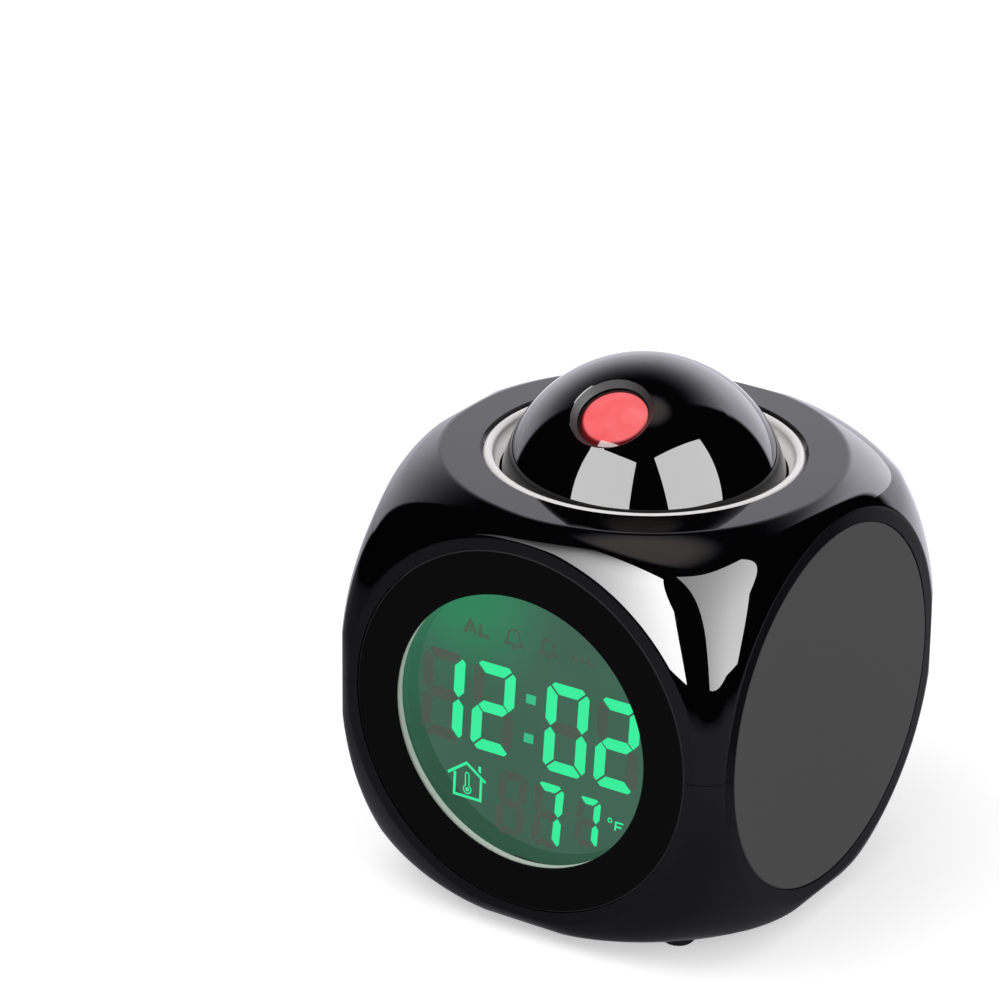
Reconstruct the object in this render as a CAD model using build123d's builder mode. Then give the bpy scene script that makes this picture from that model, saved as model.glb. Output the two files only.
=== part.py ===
from build123d import *

import os
from math import acos, asin, cos, degrees, radians, sin, sqrt

# Projection alarm clock: a block with ball-cut corners, a round display in front, round covers on
# its sides and a projector ball that is pressed, turned and tilted in a ring on top.
# The origin is the middle of the footprint on the undersides of the feet. +Z is up and the display
# looks along -Y. A name that ends in _height is a level above the middle of the housing.

os.makedirs("parts", exist_ok=True)

# ---- Driving dimensions: housing (mm, degrees) ----
# Its width is worked out below, from the projector's well and the display module in front of it.
body_height = 84.0
flat_margin = 2.45  # of each face's round flat beyond the circle of the screw posts
flare_angle = 22.0  # of the flank to the face, where the flat ends
flare_radius = 31.8
flank_end_angle = 10.0
edge_radius = 6.2
wall = 2.4
tongue_thickness = 1.1
tongue_rise = 1.2
seam_gap = 0.1
seam_line_height = 0.12  # fine groove that shows where the halves meet
seam_line_depth = 0.4
foot_rise = 1.2
foot_radius = 3.2
foot_chamfer = 0.4
foot_recess = 0.5
foot_plug_length = 2.0
post_gap = 1.4  # between the screw posts and the projector's well
post_wall = 1.2
post_meet_height = -6.0
screw_head_height = -18.0
screw_head_radius = 2.45
screw_head_thickness = 1.6
screw_shank_radius = 1.3
screw_bite = 8.0
screw_clearance = 0.15
pilot_clearance = 0.02
pilot_spare = 1.5

# ---- Driving dimensions: round covers and display ----
bezel_radius = 36.0
cover_step = 0.5  # how much smaller the side covers and the rear panel are
cover_thickness = 1.4
cover_gap = 0.15
cover_chamfer = 0.25
ledge_width = 2.5  # what the rear panel rests on, round the hole behind it
peg_inset = 7.5
peg_radius = 1.5
peg_length = 2.2
peg_fit = 0.02
bezel_width = 8.7
lip_thickness = 0.6
window_rim = 1.9  # how far the clear window runs under the bezel's lip
window_thickness = 0.8
spigot_length = 4.4
spigot_wall = 1.3
spigot_gap = 0.15
retainer_depth = 2.6  # from the bezel's face to the display glass
glass_thickness = 1.8
glass_rim = 1.7
tab_width = 14.0
tab_drop = 0.9
diffuser_depth = 7.9
diffuser_thickness = 0.6
frame_floor = 0.8
cavity_margin = 0.3
led_angle = 128.0
led_length = 4.0
led_width = 2.0
led_height = 1.6
zebra_length = 13.0
zebra_width = 1.5
board_gap = 0.4
board_thickness = 1.2
board_inset = 0.6
board_screw_inset = 1.4
board_screw_drop = 3.4  # the upper screws below the board's top edge
board_screw_angle = 36.0  # the lower screws below the level
board_screw_radius = 0.9
board_screw_bite = 3.0
board_pilot_spare = 0.5
board_screw_head_radius = 1.7
board_screw_head = 1.0
chip_radius = 5.0
chip_rise = 1.4
chip_offset = 14.0
memory_length = 10.0
memory_width = 5.0
memory_rise = 1.2
capacitor_radius = 2.5
capacitor_rise = 5.5

# ---- Driving dimensions: top unit ----
ball_radius = 27.5
ball_drop = 9.9  # the ball's centre below the top face
ball_wall = 1.6
ring_lip_width = 2.0
ring_rise = 3.8
ring_drop = 0.2  # the ring's top below the top face
ring_gap = 0.5
ring_gap_depth = 3.0
throat_gap = 0.35
cup_clearance = 0.3
cup_wall = 1.1
cup_shoulder_drop = 12.1
cup_rim_gap = 0.3
cup_opening_radius = 8.0
turn_clearance = 0.1
rest_gap = 0.1
collar_wall = 1.3
collar_ledge = 1.3
collar_flange_width = 1.7
collar_flange_thickness = 1.4
guide_clearance = 0.1
well_wall = 1.6
well_gap = 1.2  # between the well and the display module
press_stroke = 1.2
touch_gap = 0.05
deck_thickness = 1.5
deck_gap = 0.8
deck_inset = 0.1
deck_post_gap = 1.2
deck_post_angle = 25.0
deck_post_radius = 2.4
deck_ear_width = 6.4
deck_screw_radius = 1.0
deck_screw_bite = 5.0
deck_screw_head_radius = 1.9
deck_screw_head = 1.2
spring_angles = (30.0, 150.0, 270.0)
spring_radius = 1.7
spring_wire_radius = 0.22
spring_turns = 4.5
spring_peg_radius = 1.2
spring_peg_length = 1.2
snooze_board_length = 10.0
snooze_board_width = 6.4
snooze_gap = 0.5

# ---- Driving dimensions: projector ball ----
lens_elevation = 57.8
lens_bearing = 4.9  # how far the ball is turned from straight ahead towards +X
lens_radius = 6.5
lens_clearance = 0.05
lens_edge_thickness = 2.2
lens_bulge = 1.3
lens_seat_width = 0.7
eye_radius = 8.0  # mouth of the funnel in front of the lens
eye_gap = 0.3
# Levels in the ball are measured from its centre along the lens axis.
barrel_rear_level = 3.2
barrel_wall = 1.2
barrel_gap = 0.2
lens_seat_drop = 2.7  # below the barrel's front
flange_drop = 4.7
flange_thickness = 1.3
flange_gap = 1.0
boss_inset = 2.0
boss_radius = 1.7
barrel_screw_radius = 0.7
barrel_screw_bite = 1.6
boss_angles = (90.0, 210.0, 330.0)
barrel_screw_head_radius = 1.3
barrel_screw_head = 0.8
rear_flange_radius = 10.0
ball_board_thickness = 1.0
condenser_level = 8.0
condenser_thickness = 2.0
slide_level = 12.0
slide_thickness = 1.1
led_dome_radius = 1.5
led_dome_rise = 3.0
led_dome_rounding = 1.35
optic_clearance = 0.03
ball_tongue = 1.0
ball_tongue_rise = 1.5
ball_tongue_gap = 0.1
ball_opening_radius = 7.0
pin_radius = 2.0
pin_clearance = 0.05
pin_tip_gap = 0.3
pin_head_radius = 3.1
pin_head_thickness = 1.2
pin_head_gap = 0.5

# ---- Driving dimensions: rear panel ----
field_inset = 4.5
field_drop = 1.2
field_thickness = 1.4
key_count = 4
key_pitch = 13.0
key_row_drop = 7.35  # below the spring deck
key_radius = 3.4
key_rise = 1.0
key_gap = 0.1
key_flange_radius = 4.1
key_flange_thickness = 0.8
key_stem_radius = 1.2
key_stem_length = 2.0
key_stroke = 0.8
key_names = ("key_up", "key_down", "key_mode", "key_set")
tact_side = 6.0
tact_body = 3.5
tact_button = 0.8
tact_button_radius = 1.7
key_board_width = 47.0
key_board_height = 9.0
key_standoff_radius = 1.9
speaker_inset = 2.5
speaker_radius = 11.5
speaker_rim = 0.9
speaker_depth = 4.4
speaker_plate = 0.8
magnet_radius = 5.5
magnet_length = 3.5
cone_thickness = 0.35
cone_drop = 2.0
voice_coil_radius = 4.0
speaker_wall = 1.0
speaker_wall_length = 2.4
speaker_gap = 0.1
grille_margin = 1.0
grille_slot = 1.3
grille_pitch = 2.7
jack_inset = 6.3
jack_angle = -31.8
jack_bore_radius = 1.75
jack_bore_length = 9.0
jack_nose_radius = 3.1
jack_body_width = 8.6
jack_body_tall = 6.6
jack_floor = 1.4
jack_pin_radius = 0.65
jack_pin_length = 8.0
vent_slots = 4
vent_length = 6.0
vent_width = 1.2
vent_pitch = 2.6

# ---- Driving dimensions: battery bay ----
cell_count = 3
cell_radius = 5.25
cell_length = 44.5
cell_nub_radius = 1.9
cell_nub = 0.8
cell_spacing = 0.3
cell_gap = 0.25
cell_spring_length = 3.0
cell_spring_radius = 2.2
cell_spring_turns = 2.5
contact_thickness = 0.4
contact_side = 8.0
bay_wall = 1.4
door_thickness = 1.4
door_rim = 2.0
door_gap = 0.2
hinge_pin_radius = 0.5
hinge_pin_length = 1.4
hinge_clearance = 0.05
latch_width = 8.0
latch_rise = 1.8
latch_thickness = 0.7
notch_radius = 5.0
notch_depth = 0.7

# ---- Worked-out sizes: overall ----
def chord(radius, distance):
    """Half the width of a circle at a distance from its centre."""
    return sqrt(radius**2 - distance**2)


cup_inner_radius = ball_radius + cup_clearance
cup_radius = cup_inner_radius + cup_wall
collar_bore_radius = cup_radius + turn_clearance
ring_radius = collar_bore_radius + collar_wall
well_radius = ring_radius + guide_clearance
well_outer_radius = well_radius + well_wall
frame_back_depth = diffuser_depth + diffuser_thickness + frame_floor
half_width = well_outer_radius + well_gap + frame_back_depth
half_height = body_height / 2
mid_z = foot_rise + half_height
roof_height = half_height - wall / 2  # posts and walls end inside the top or the base wall
through_wall = 2 * wall
post_radius = screw_head_radius + screw_clearance + post_wall
upper_post_radius = screw_shank_radius + post_wall + screw_clearance
post_circle = well_outer_radius + post_gap + upper_post_radius
post_spread = post_circle / sqrt(2)
flat_radius = post_circle + flat_margin

# ---- Worked-out sizes: round covers ----
cover_radius = bezel_radius - cover_step
ledge_radius = cover_radius - ledge_width
peg_circle = cover_radius - peg_inset
window_radius = bezel_radius - bezel_width
board_depth = frame_back_depth + board_gap
field_radius = cover_radius - field_inset
field_back_depth = field_drop + field_thickness

# ---- Worked-out sizes: top unit ----
ball_height = half_height - ball_drop
ball_centre = (0, 0, mid_z + ball_height)
ball_bore_radius = ball_radius - ball_wall
ring_top_height = half_height - ring_drop
ring_bottom_height = ring_top_height - ring_rise
cup_top_height = ring_bottom_height - cup_rim_gap
cup_shoulder_height = ball_height - cup_shoulder_drop
cup_bowl_radius = cup_inner_radius + cup_wall + cup_clearance
collar_ledge_height = cup_shoulder_height - rest_gap
collar_bottom_height = collar_ledge_height - collar_ledge
collar_flange_radius = ring_radius + collar_flange_width
collar_ledge_bore = chord(cup_bowl_radius, cup_shoulder_drop) + cup_clearance
well_bottom_height = collar_bottom_height + collar_flange_thickness + rest_gap
tact_height = tact_body + tact_button
deck_top_height = collar_bottom_height - press_stroke - touch_gap - tact_height - board_thickness
deck_bottom_height = deck_top_height - deck_thickness
deck_radius = well_outer_radius - deck_inset
deck_post_circle = well_outer_radius + deck_post_gap + deck_post_radius
spring_circle = (collar_ledge_bore + collar_flange_radius) / 2
switch_level = deck_top_height + board_thickness + tact_body
pressed_bowl_radius = chord(cup_bowl_radius, ball_height - press_stroke - switch_level)
snooze_circle = pressed_bowl_radius + snooze_gap + tact_side / 2

# ---- Worked-out sizes: projector, rear panel and battery bay ----
barrel_radius = lens_radius + lens_clearance + barrel_wall
barrel_bore_radius = lens_radius - lens_seat_width
barrel_front_level = chord(ball_bore_radius, barrel_radius) - barrel_gap
lens_seat_level = barrel_front_level - lens_seat_drop
flange_level = barrel_front_level - flange_drop
flange_front_level = flange_level + flange_thickness
flange_radius = chord(ball_bore_radius, flange_front_level) - flange_gap
boss_circle = flange_radius - boss_inset
eye_throat_radius = lens_radius + eye_gap
pin_head_distance = chord(ball_bore_radius - ball_tongue, pin_head_radius) - pin_head_gap
key_row_height = deck_bottom_height - key_row_drop
speaker_height = speaker_radius + speaker_inset - field_radius
grille_radius = speaker_radius - speaker_rim - grille_margin
jack_across = (field_radius - jack_inset) * cos(radians(jack_angle))
jack_height = (field_radius - jack_inset) * sin(radians(jack_angle))
jack_body_length = jack_bore_length - field_thickness + jack_floor
cell_pitch = 2 * cell_radius + cell_spacing
cell_height = -half_height + door_thickness + cell_gap + cell_radius
bay_roof_height = cell_height + cell_radius + cell_gap
bay_length = cell_length + cell_spring_length + 2 * contact_thickness
bay_width = (cell_count - 1) * cell_pitch + 2 * (cell_radius + cell_gap)
door_length = bay_length + 2 * door_rim
door_width = bay_width + 2 * door_rim
door_hinge_y = -door_width / 2 + door_thickness / 2
door_hinge_height = -half_height + door_thickness / 2


# ---- Planes and helpers ----
def level(height):
    """Horizontal plane at a height above the middle of the housing."""
    return Plane.XY.offset(mid_z + height)


def front_face(depth=0.0):
    """Plane of the front face, depth mm inside it, its normal outwards and its y axis up."""
    return Plane(origin=(0, depth - half_width, mid_z), x_dir=(1, 0, 0), z_dir=(0, -1, 0))


def rear_face(depth=0.0):
    """Plane of the rear face, seen from behind: its x axis is -X."""
    return Plane(origin=(0, half_width - depth, mid_z), x_dir=(-1, 0, 0), z_dir=(0, 1, 0))


def side_face(side, depth=0.0):
    """Plane of the right face where side is 1, and of the left face where it is -1."""
    return Plane(origin=(side * (half_width - depth), 0, mid_z), x_dir=(0, side, 0), z_dir=(side, 0, 0))


upright = Plane(origin=(0, 0, mid_z), x_dir=(1, 0, 0), z_dir=(0, -1, 0))
across = (cos(radians(lens_bearing)), sin(radians(lens_bearing)), 0)  # the tilt axis
ahead = (sin(radians(lens_bearing)), -cos(radians(lens_bearing)), 0)
lens_axis = (
    ahead[0] * cos(radians(lens_elevation)),
    ahead[1] * cos(radians(lens_elevation)),
    sin(radians(lens_elevation)),
)
pin_plane = Plane(origin=ball_centre, x_dir=ahead, z_dir=across)


def lens_plane(distance):
    """Plane across the lens axis at a distance from the ball's centre, its normal outwards."""
    return Plane(origin=ball_centre, x_dir=across, z_dir=lens_axis).offset(distance)


# The half plane through the lens axis that the round pieces in the ball are turned from
lens_section = Plane(
    origin=ball_centre,
    x_dir=across,
    z_dir=Vector(*across).cross(Vector(*lens_axis)),
)
lens_line = Axis(ball_centre, lens_axis)


def rounded_block(growth):
    """The housing's core block grown outwards all round, which rounds every edge by the growth."""
    with BuildPart() as block:
        add(housing_core.part)
        offset(amount=growth, kind=Kind.ARC)
    return block.part


def flared_block(half_length):
    """The core of a block turned about Z, with round flats as ends and flanks that curve away."""
    centre_out = flat_radius - flare_radius * sin(radians(flare_angle))
    centre_up = half_length - flare_radius * cos(radians(flare_angle))
    core_flare = flare_radius - edge_radius
    rim_angle = asin((half_length - edge_radius - centre_up) / core_flare)
    angles = (rim_angle, (rim_angle + radians(flank_end_angle)) / 2, radians(flank_end_angle))
    flank = [(centre_out + core_flare * cos(a), centre_up + core_flare * sin(a)) for a in angles]
    rim = flank[0]
    with BuildPart() as block:
        with BuildSketch(Plane.XZ):
            with BuildLine():
                Polyline((0, 0), (0, rim[1]), rim)
                ThreePointArc(*flank)
                Polyline(flank[-1], (flank[-1][0], 0), (0, 0))
            make_face()
            mirror(about=Plane.XZ)
        revolve(axis=Axis.Z)
    return block.part


def turned(points, plane=upright, axis=Axis.Z):
    """A solid of revolution from the corners of its half section."""
    with BuildPart() as solid:
        with BuildSketch(plane):
            with BuildLine():
                Polyline(*points, close=True)
            make_face()
        revolve(axis=axis)
    return solid.part


def disc(plane, radius, thickness, places=((0, 0),)):
    """Round discs that reach inwards from a plane."""
    with BuildPart() as solid:
        with BuildSketch(plane):
            with Locations(*places):
                Circle(radius)
        extrude(amount=-thickness)
    return solid.part


def screw(plane, places, radius, length, head_radius, head_thickness):
    """Pan-head screws: the heads rest on the plane and the shanks go against its normal."""
    with BuildPart() as group:
        with BuildSketch(plane):
            with Locations(*places):
                Circle(head_radius)
        extrude(amount=head_thickness)
        fillet(group.edges().group_by(Axis(plane.origin, plane.z_dir))[-1], head_thickness / 2)
        with BuildSketch(plane):
            with Locations(*places):
                Circle(radius)
        extrude(amount=-length)
    return group.part


def finish(piece, name):
    """Labels a finished piece and writes its STEP file."""
    piece.label = name
    export_step(piece, f"parts/{name}.step")


def on_circle(radius, angles):
    """Places on a circle, at angles in degrees."""
    return [(radius * cos(radians(a)), radius * sin(radians(a))) for a in angles]


# ---- Housing blanks ----
across_block = flared_block(half_width)
with BuildPart() as housing_core:
    with Locations((0, 0, mid_z)):
        add(flared_block(half_height))
        add(across_block, rotation=(0, 90, 0), mode=Mode.INTERSECT)
        add(across_block, rotation=(90, 0, 0), mode=Mode.INTERSECT)

outer_block = rounded_block(edge_radius)
inner_block = rounded_block(edge_radius - wall)

post_places = [(x * post_spread, y * post_spread) for x in (-1, 1) for y in (-1, 1)]
deck_post_angles = (
    deck_post_angle,
    180 - deck_post_angle,
    180 + deck_post_angle,
    -deck_post_angle,
)
deck_post_places = on_circle(deck_post_circle, deck_post_angles)
peg_places = on_circle(peg_circle, (90, 210, 330))

# The round seats of the bezel, the covers and the rear panel
with BuildPart() as face_cuts:
    for face, radius in (
        (front_face, bezel_radius),
        (rear_face, cover_radius),
    ):
        with BuildSketch(face()):
            Circle(radius + cover_gap)
        extrude(amount=-cover_thickness)
        with BuildSketch(face()):
            Circle(ledge_radius)
        extrude(amount=-through_wall)
    for side in (-1, 1):
        with BuildSketch(side_face(side)):
            Circle(cover_radius + cover_gap)
        extrude(amount=-cover_thickness)
        with BuildSketch(side_face(side)):
            with Locations(*peg_places):
                Circle(peg_radius + peg_fit)
        extrude(amount=-through_wall)

# The tongue on the lower half that centres the upper half, and its groove
with BuildPart() as tongue:
    add(rounded_block(edge_radius - wall + tongue_thickness - seam_gap))
    add(inner_block, mode=Mode.SUBTRACT)
    split(bisect_by=level(0), keep=Keep.TOP)
    split(bisect_by=level(tongue_rise), keep=Keep.BOTTOM)
with BuildPart() as groove:
    add(rounded_block(edge_radius - wall + tongue_thickness))
    add(inner_block, mode=Mode.SUBTRACT)
    split(bisect_by=level(0), keep=Keep.TOP)
    split(bisect_by=level(tongue_rise + seam_gap), keep=Keep.BOTTOM)

# The fine line that shows outside where the halves meet
with BuildPart() as seam_line:
    add(outer_block)
    add(rounded_block(edge_radius - seam_line_depth), mode=Mode.SUBTRACT)
    split(bisect_by=level(0), keep=Keep.TOP)
    split(bisect_by=level(seam_line_height), keep=Keep.BOTTOM)

# ---- Upper housing: shell, guide well for the ring, posts for the deck and the housing screws ----
with BuildPart() as upper_housing:
    add(outer_block)
    add(inner_block, mode=Mode.SUBTRACT)
    split(bisect_by=level(0), keep=Keep.TOP)
    with BuildSketch(level(well_bottom_height)):
        Circle(well_outer_radius)
    extrude(amount=roof_height - well_bottom_height)
    with BuildSketch(level(post_meet_height)):
        with Locations(*post_places):
            Circle(upper_post_radius)
    extrude(amount=roof_height - post_meet_height)
    with BuildSketch(level(deck_top_height)):
        with Locations(*deck_post_places):
            Circle(deck_post_radius)
    extrude(amount=roof_height - deck_top_height)
    add(groove.part, mode=Mode.SUBTRACT)
    add(seam_line.part, mode=Mode.SUBTRACT)
    add(face_cuts.part, mode=Mode.SUBTRACT)
    with BuildSketch(level(0)):
        Circle(well_radius)
    extrude(amount=half_height, mode=Mode.SUBTRACT)
    with BuildSketch(level(half_height)):
        Circle(ring_radius + ring_gap)
    extrude(amount=-ring_gap_depth, mode=Mode.SUBTRACT)
    with BuildSketch(level(post_meet_height)):
        with Locations(*post_places):
            Circle(screw_shank_radius + pilot_clearance)
    extrude(amount=screw_bite + pilot_spare, mode=Mode.SUBTRACT)
    with BuildSketch(level(deck_top_height)):
        with Locations(*deck_post_places):
            Circle(deck_screw_radius + pilot_clearance)
    extrude(amount=deck_screw_bite + pilot_spare, mode=Mode.SUBTRACT)
finish(upper_housing.part, "upper_housing")

# ---- Lower housing: shell, screw posts, battery bay and the recesses in its base ----
with BuildPart() as lower_housing:
    add(outer_block)
    add(inner_block, mode=Mode.SUBTRACT)
    split(bisect_by=level(0), keep=Keep.BOTTOM)
    add(tongue.part)
    with BuildSketch(level(post_meet_height)):
        with Locations(*post_places):
            Circle(post_radius)
    extrude(amount=-(roof_height + post_meet_height))
    with BuildSketch(level(bay_roof_height + bay_wall)):
        RectangleRounded(bay_length + 2 * bay_wall, bay_width + 2 * bay_wall, bay_wall)
    extrude(amount=-(roof_height + bay_roof_height + bay_wall))
    add(face_cuts.part, mode=Mode.SUBTRACT)
    with BuildSketch(level(-half_height)):
        Rectangle(bay_length, bay_width)
    extrude(amount=half_height + bay_roof_height, mode=Mode.SUBTRACT)
    with BuildSketch(level(-half_height)):
        Rectangle(door_length + 2 * door_gap, door_width + 2 * door_gap)
    extrude(amount=door_thickness + door_gap, mode=Mode.SUBTRACT)
    with BuildSketch(level(-half_height)):
        with Locations(*post_places):
            Circle(foot_radius + cover_gap)
    extrude(amount=foot_recess, mode=Mode.SUBTRACT)
    with BuildSketch(level(-half_height)):
        with Locations(*post_places):
            Circle(screw_head_radius + screw_clearance)
    extrude(amount=half_height + screw_head_height, mode=Mode.SUBTRACT)
    with BuildSketch(level(-half_height)):
        with Locations(*post_places):
            Circle(screw_shank_radius + screw_clearance)
    extrude(amount=half_height, mode=Mode.SUBTRACT)
    # finger notch beside the door's latch
    with Locations((0, door_width / 2 + door_gap, mid_z - half_height)):
        Cylinder(notch_radius, 2 * notch_depth, mode=Mode.SUBTRACT)
    # bearings of the door's hinge pins
    with BuildSketch(Plane.YZ):
        with Locations((door_hinge_y, mid_z + door_hinge_height)):
            Circle(hinge_pin_radius + hinge_clearance)
    hinge_bore_reach = door_length / 2 + hinge_pin_length + door_gap
    extrude(amount=hinge_bore_reach, both=True, mode=Mode.SUBTRACT)
finish(lower_housing.part, "lower_housing")

# ---- Feet, with plugs in the screw tunnels, and the housing screws ----
for number, place in enumerate(post_places, start=1):
    with BuildPart() as foot:
        with BuildSketch(level(-half_height + foot_recess)):
            with Locations(place):
                Circle(foot_radius)
        extrude(amount=-(foot_recess + foot_rise))
        chamfer(foot.edges().group_by(Axis.Z)[0], foot_chamfer)
        with BuildSketch(level(-half_height + foot_recess)):
            with Locations(place):
                Circle(screw_head_radius)
        extrude(amount=foot_plug_length)
    finish(foot.part, f"foot_{number}")

# the heads sit in the tunnels below the shank holes and the screws point up
screw_seat = Plane(origin=(0, 0, mid_z + screw_head_height), x_dir=(1, 0, 0), z_dir=(0, 0, -1))
housing_screws = screw(
    screw_seat,
    [(x, -y) for x, y in post_places],
    screw_shank_radius,
    post_meet_height - screw_head_height + screw_bite,
    screw_head_radius,
    screw_head_thickness,
)
finish(housing_screws, "housing_screws")

# ---- Front bezel: printed ring with a lip round the window and a spigot into the housing ----
with BuildPart() as front_bezel:
    with BuildSketch(front_face()):
        Circle(bezel_radius)
        Circle(window_radius, mode=Mode.SUBTRACT)
    extrude(amount=-cover_thickness)
    rim = front_bezel.edges().group_by(Axis.Y)[0].sort_by(SortBy.RADIUS)[-1]
    chamfer(rim, cover_chamfer)
    with BuildSketch(front_face(cover_thickness)):
        Circle(window_radius + window_rim + optic_clearance)
    extrude(amount=cover_thickness - lip_thickness, mode=Mode.SUBTRACT)
    with BuildSketch(front_face(cover_thickness)):
        Circle(ledge_radius - spigot_gap)
        Circle(ledge_radius - spigot_gap - spigot_wall, mode=Mode.SUBTRACT)
    extrude(amount=-spigot_length)
finish(front_bezel.part, "front_bezel")

# ---- Clear window under the lip ----
display_window = disc(
    front_face(lip_thickness),
    window_radius + window_rim,
    window_thickness,
)
finish(display_window, "display_window")

# ---- Display module: retainer, glass, light box, diffuser, lamp and rubber contact strip ----
module_radius = ledge_radius - 2 * spigot_gap - spigot_wall
board_radius = module_radius - board_inset
board_screw_circle = board_radius - board_screw_inset
board_top_height = deck_bottom_height - deck_gap
upper_screw_angle = degrees(asin((board_top_height - board_screw_drop) / board_screw_circle))
board_screw_places = on_circle(
    board_screw_circle,
    (upper_screw_angle, 180 - upper_screw_angle, 180 + board_screw_angle, -board_screw_angle),
)
glass_radius = window_radius + glass_rim
cavity_radius = window_radius + cavity_margin
tab_height = -(glass_radius + tab_drop)
glass_back = retainer_depth + glass_thickness
ledge_middle = tab_height + zebra_width / 2

with BuildPart() as lcd_retainer:
    with BuildSketch(front_face(cover_thickness)):
        Circle(module_radius)
        Circle(cavity_radius, mode=Mode.SUBTRACT)
    extrude(amount=cover_thickness - retainer_depth)
finish(lcd_retainer.part, "lcd_retainer")

# two glasses, the front one with a contact ledge below
with BuildPart() as lcd_panel:
    with BuildSketch(front_face(retainer_depth)):
        Circle(glass_radius)
    extrude(amount=-glass_thickness)
    with BuildSketch(front_face(retainer_depth)):
        with Locations((0, (tab_height - cavity_radius) / 2)):
            Rectangle(tab_width, -tab_height - cavity_radius)
    extrude(amount=-glass_thickness / 2)
    with BuildSketch(front_face(glass_back)):
        with Locations((0, ledge_middle)):
            Rectangle(tab_width, zebra_width + 2 * optic_clearance)
    extrude(amount=glass_thickness / 2, mode=Mode.SUBTRACT)
finish(lcd_panel.part, "lcd_panel")

with BuildPart() as light_box:
    with BuildSketch(front_face(retainer_depth)):
        Circle(module_radius)
    extrude(amount=retainer_depth - frame_back_depth)
    with BuildSketch(front_face(retainer_depth)):
        Circle(glass_radius + optic_clearance)
    extrude(amount=-glass_thickness, mode=Mode.SUBTRACT)
    with BuildSketch(front_face(glass_back)):
        Circle(cavity_radius)
    extrude(amount=glass_back - diffuser_depth - diffuser_thickness, mode=Mode.SUBTRACT)
    # way for the glass's contact ledge and the rubber strip behind it
    with BuildSketch(front_face(retainer_depth)):
        with Locations((0, (tab_height - cavity_radius) / 2)):
            Rectangle(
                tab_width + 2 * optic_clearance, 2 * optic_clearance - tab_height - cavity_radius
            )
    extrude(amount=-glass_thickness, mode=Mode.SUBTRACT)
    with BuildSketch(front_face(glass_back)):
        with Locations((0, ledge_middle)):
            Rectangle(zebra_length + 2 * optic_clearance, zebra_width + 2 * optic_clearance)
    extrude(amount=glass_back - frame_back_depth, mode=Mode.SUBTRACT)
    with BuildSketch(front_face(glass_back)):
        with PolarLocations(cavity_radius + led_height / 2, 1, led_angle):
            Rectangle(led_height + 2 * optic_clearance, led_length + 2 * optic_clearance)
    extrude(amount=-led_width, mode=Mode.SUBTRACT)
    with BuildSketch(front_face(frame_back_depth)):
        with Locations(*board_screw_places):
            Circle(board_screw_radius + pilot_clearance)
    extrude(amount=board_screw_bite + board_pilot_spare, mode=Mode.SUBTRACT)
finish(light_box.part, "light_box")

backlight_diffuser = disc(
    front_face(diffuser_depth), cavity_radius - optic_clearance, diffuser_thickness
)
finish(backlight_diffuser, "backlight_diffuser")

with BuildPart() as backlight_led:
    with BuildSketch(front_face(glass_back)):
        with PolarLocations(cavity_radius + led_height / 2, 1, led_angle):
            Rectangle(led_height, led_length)
    extrude(amount=-led_width)
finish(backlight_led.part, "backlight_led")

with BuildPart() as contact_strip:
    with BuildSketch(front_face(retainer_depth + glass_thickness / 2)):
        with Locations((0, ledge_middle)):
            Rectangle(zebra_length, zebra_width - 2 * optic_clearance)
    extrude(amount=retainer_depth + glass_thickness / 2 - board_depth)
finish(contact_strip.part, "contact_strip")

# ---- Main board, its components and screws ----
with BuildPart() as main_board:
    with BuildSketch(front_face(board_depth)):
        Circle(board_radius)
        with Locations((0, board_top_height + board_radius)):
            Rectangle(2 * board_radius, 2 * board_radius, mode=Mode.SUBTRACT)
        with Locations(*board_screw_places):
            Circle(board_screw_radius + screw_clearance, mode=Mode.SUBTRACT)
    extrude(amount=-board_thickness)
finish(main_board.part, "main_board")

with BuildPart() as board_chips:
    with BuildSketch(front_face(board_depth + board_thickness)):
        Circle(chip_radius)
    extrude(amount=-chip_rise)
    fillet(board_chips.edges().group_by(Axis.Y)[-1], chip_rise / 2)
    with BuildSketch(front_face(board_depth + board_thickness)):
        with Locations((-chip_offset, 0)):
            Rectangle(memory_length, memory_width)
        with Locations((chip_offset, 0)):
            Rectangle(memory_width, memory_length / 2)
    extrude(amount=-memory_rise)
    with BuildSketch(front_face(board_depth + board_thickness)):
        with Locations((-chip_offset, -chip_offset), (chip_offset, -chip_offset)):
            Circle(capacitor_radius)
    extrude(amount=-capacitor_rise)
finish(board_chips.part, "board_chips")

board_screw_plane = Plane(
    origin=(0, board_depth + board_thickness - half_width, mid_z), x_dir=(1, 0, 0), z_dir=(0, 1, 0)
)
board_screws = screw(
    board_screw_plane,
    [(x, -y) for x, y in board_screw_places],
    board_screw_radius,
    board_thickness + board_gap + board_screw_bite,
    board_screw_head_radius,
    board_screw_head,
)
finish(board_screws, "board_screws")

# ---- Side covers, with pegs pressed into the housing ----
for side, name in ((-1, "left_cover"), (1, "right_cover")):
    with BuildPart() as cover:
        with BuildSketch(side_face(side)):
            Circle(cover_radius)
        extrude(amount=-cover_thickness)
        outer_rim = cover.edges().group_by(Axis.X)[0 if side < 0 else -1]
        chamfer(outer_rim, cover_chamfer)
        with BuildSketch(side_face(side, cover_thickness)):
            with Locations(*peg_places):
                Circle(peg_radius)
        extrude(amount=-peg_length)
    finish(cover.part, name)

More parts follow.
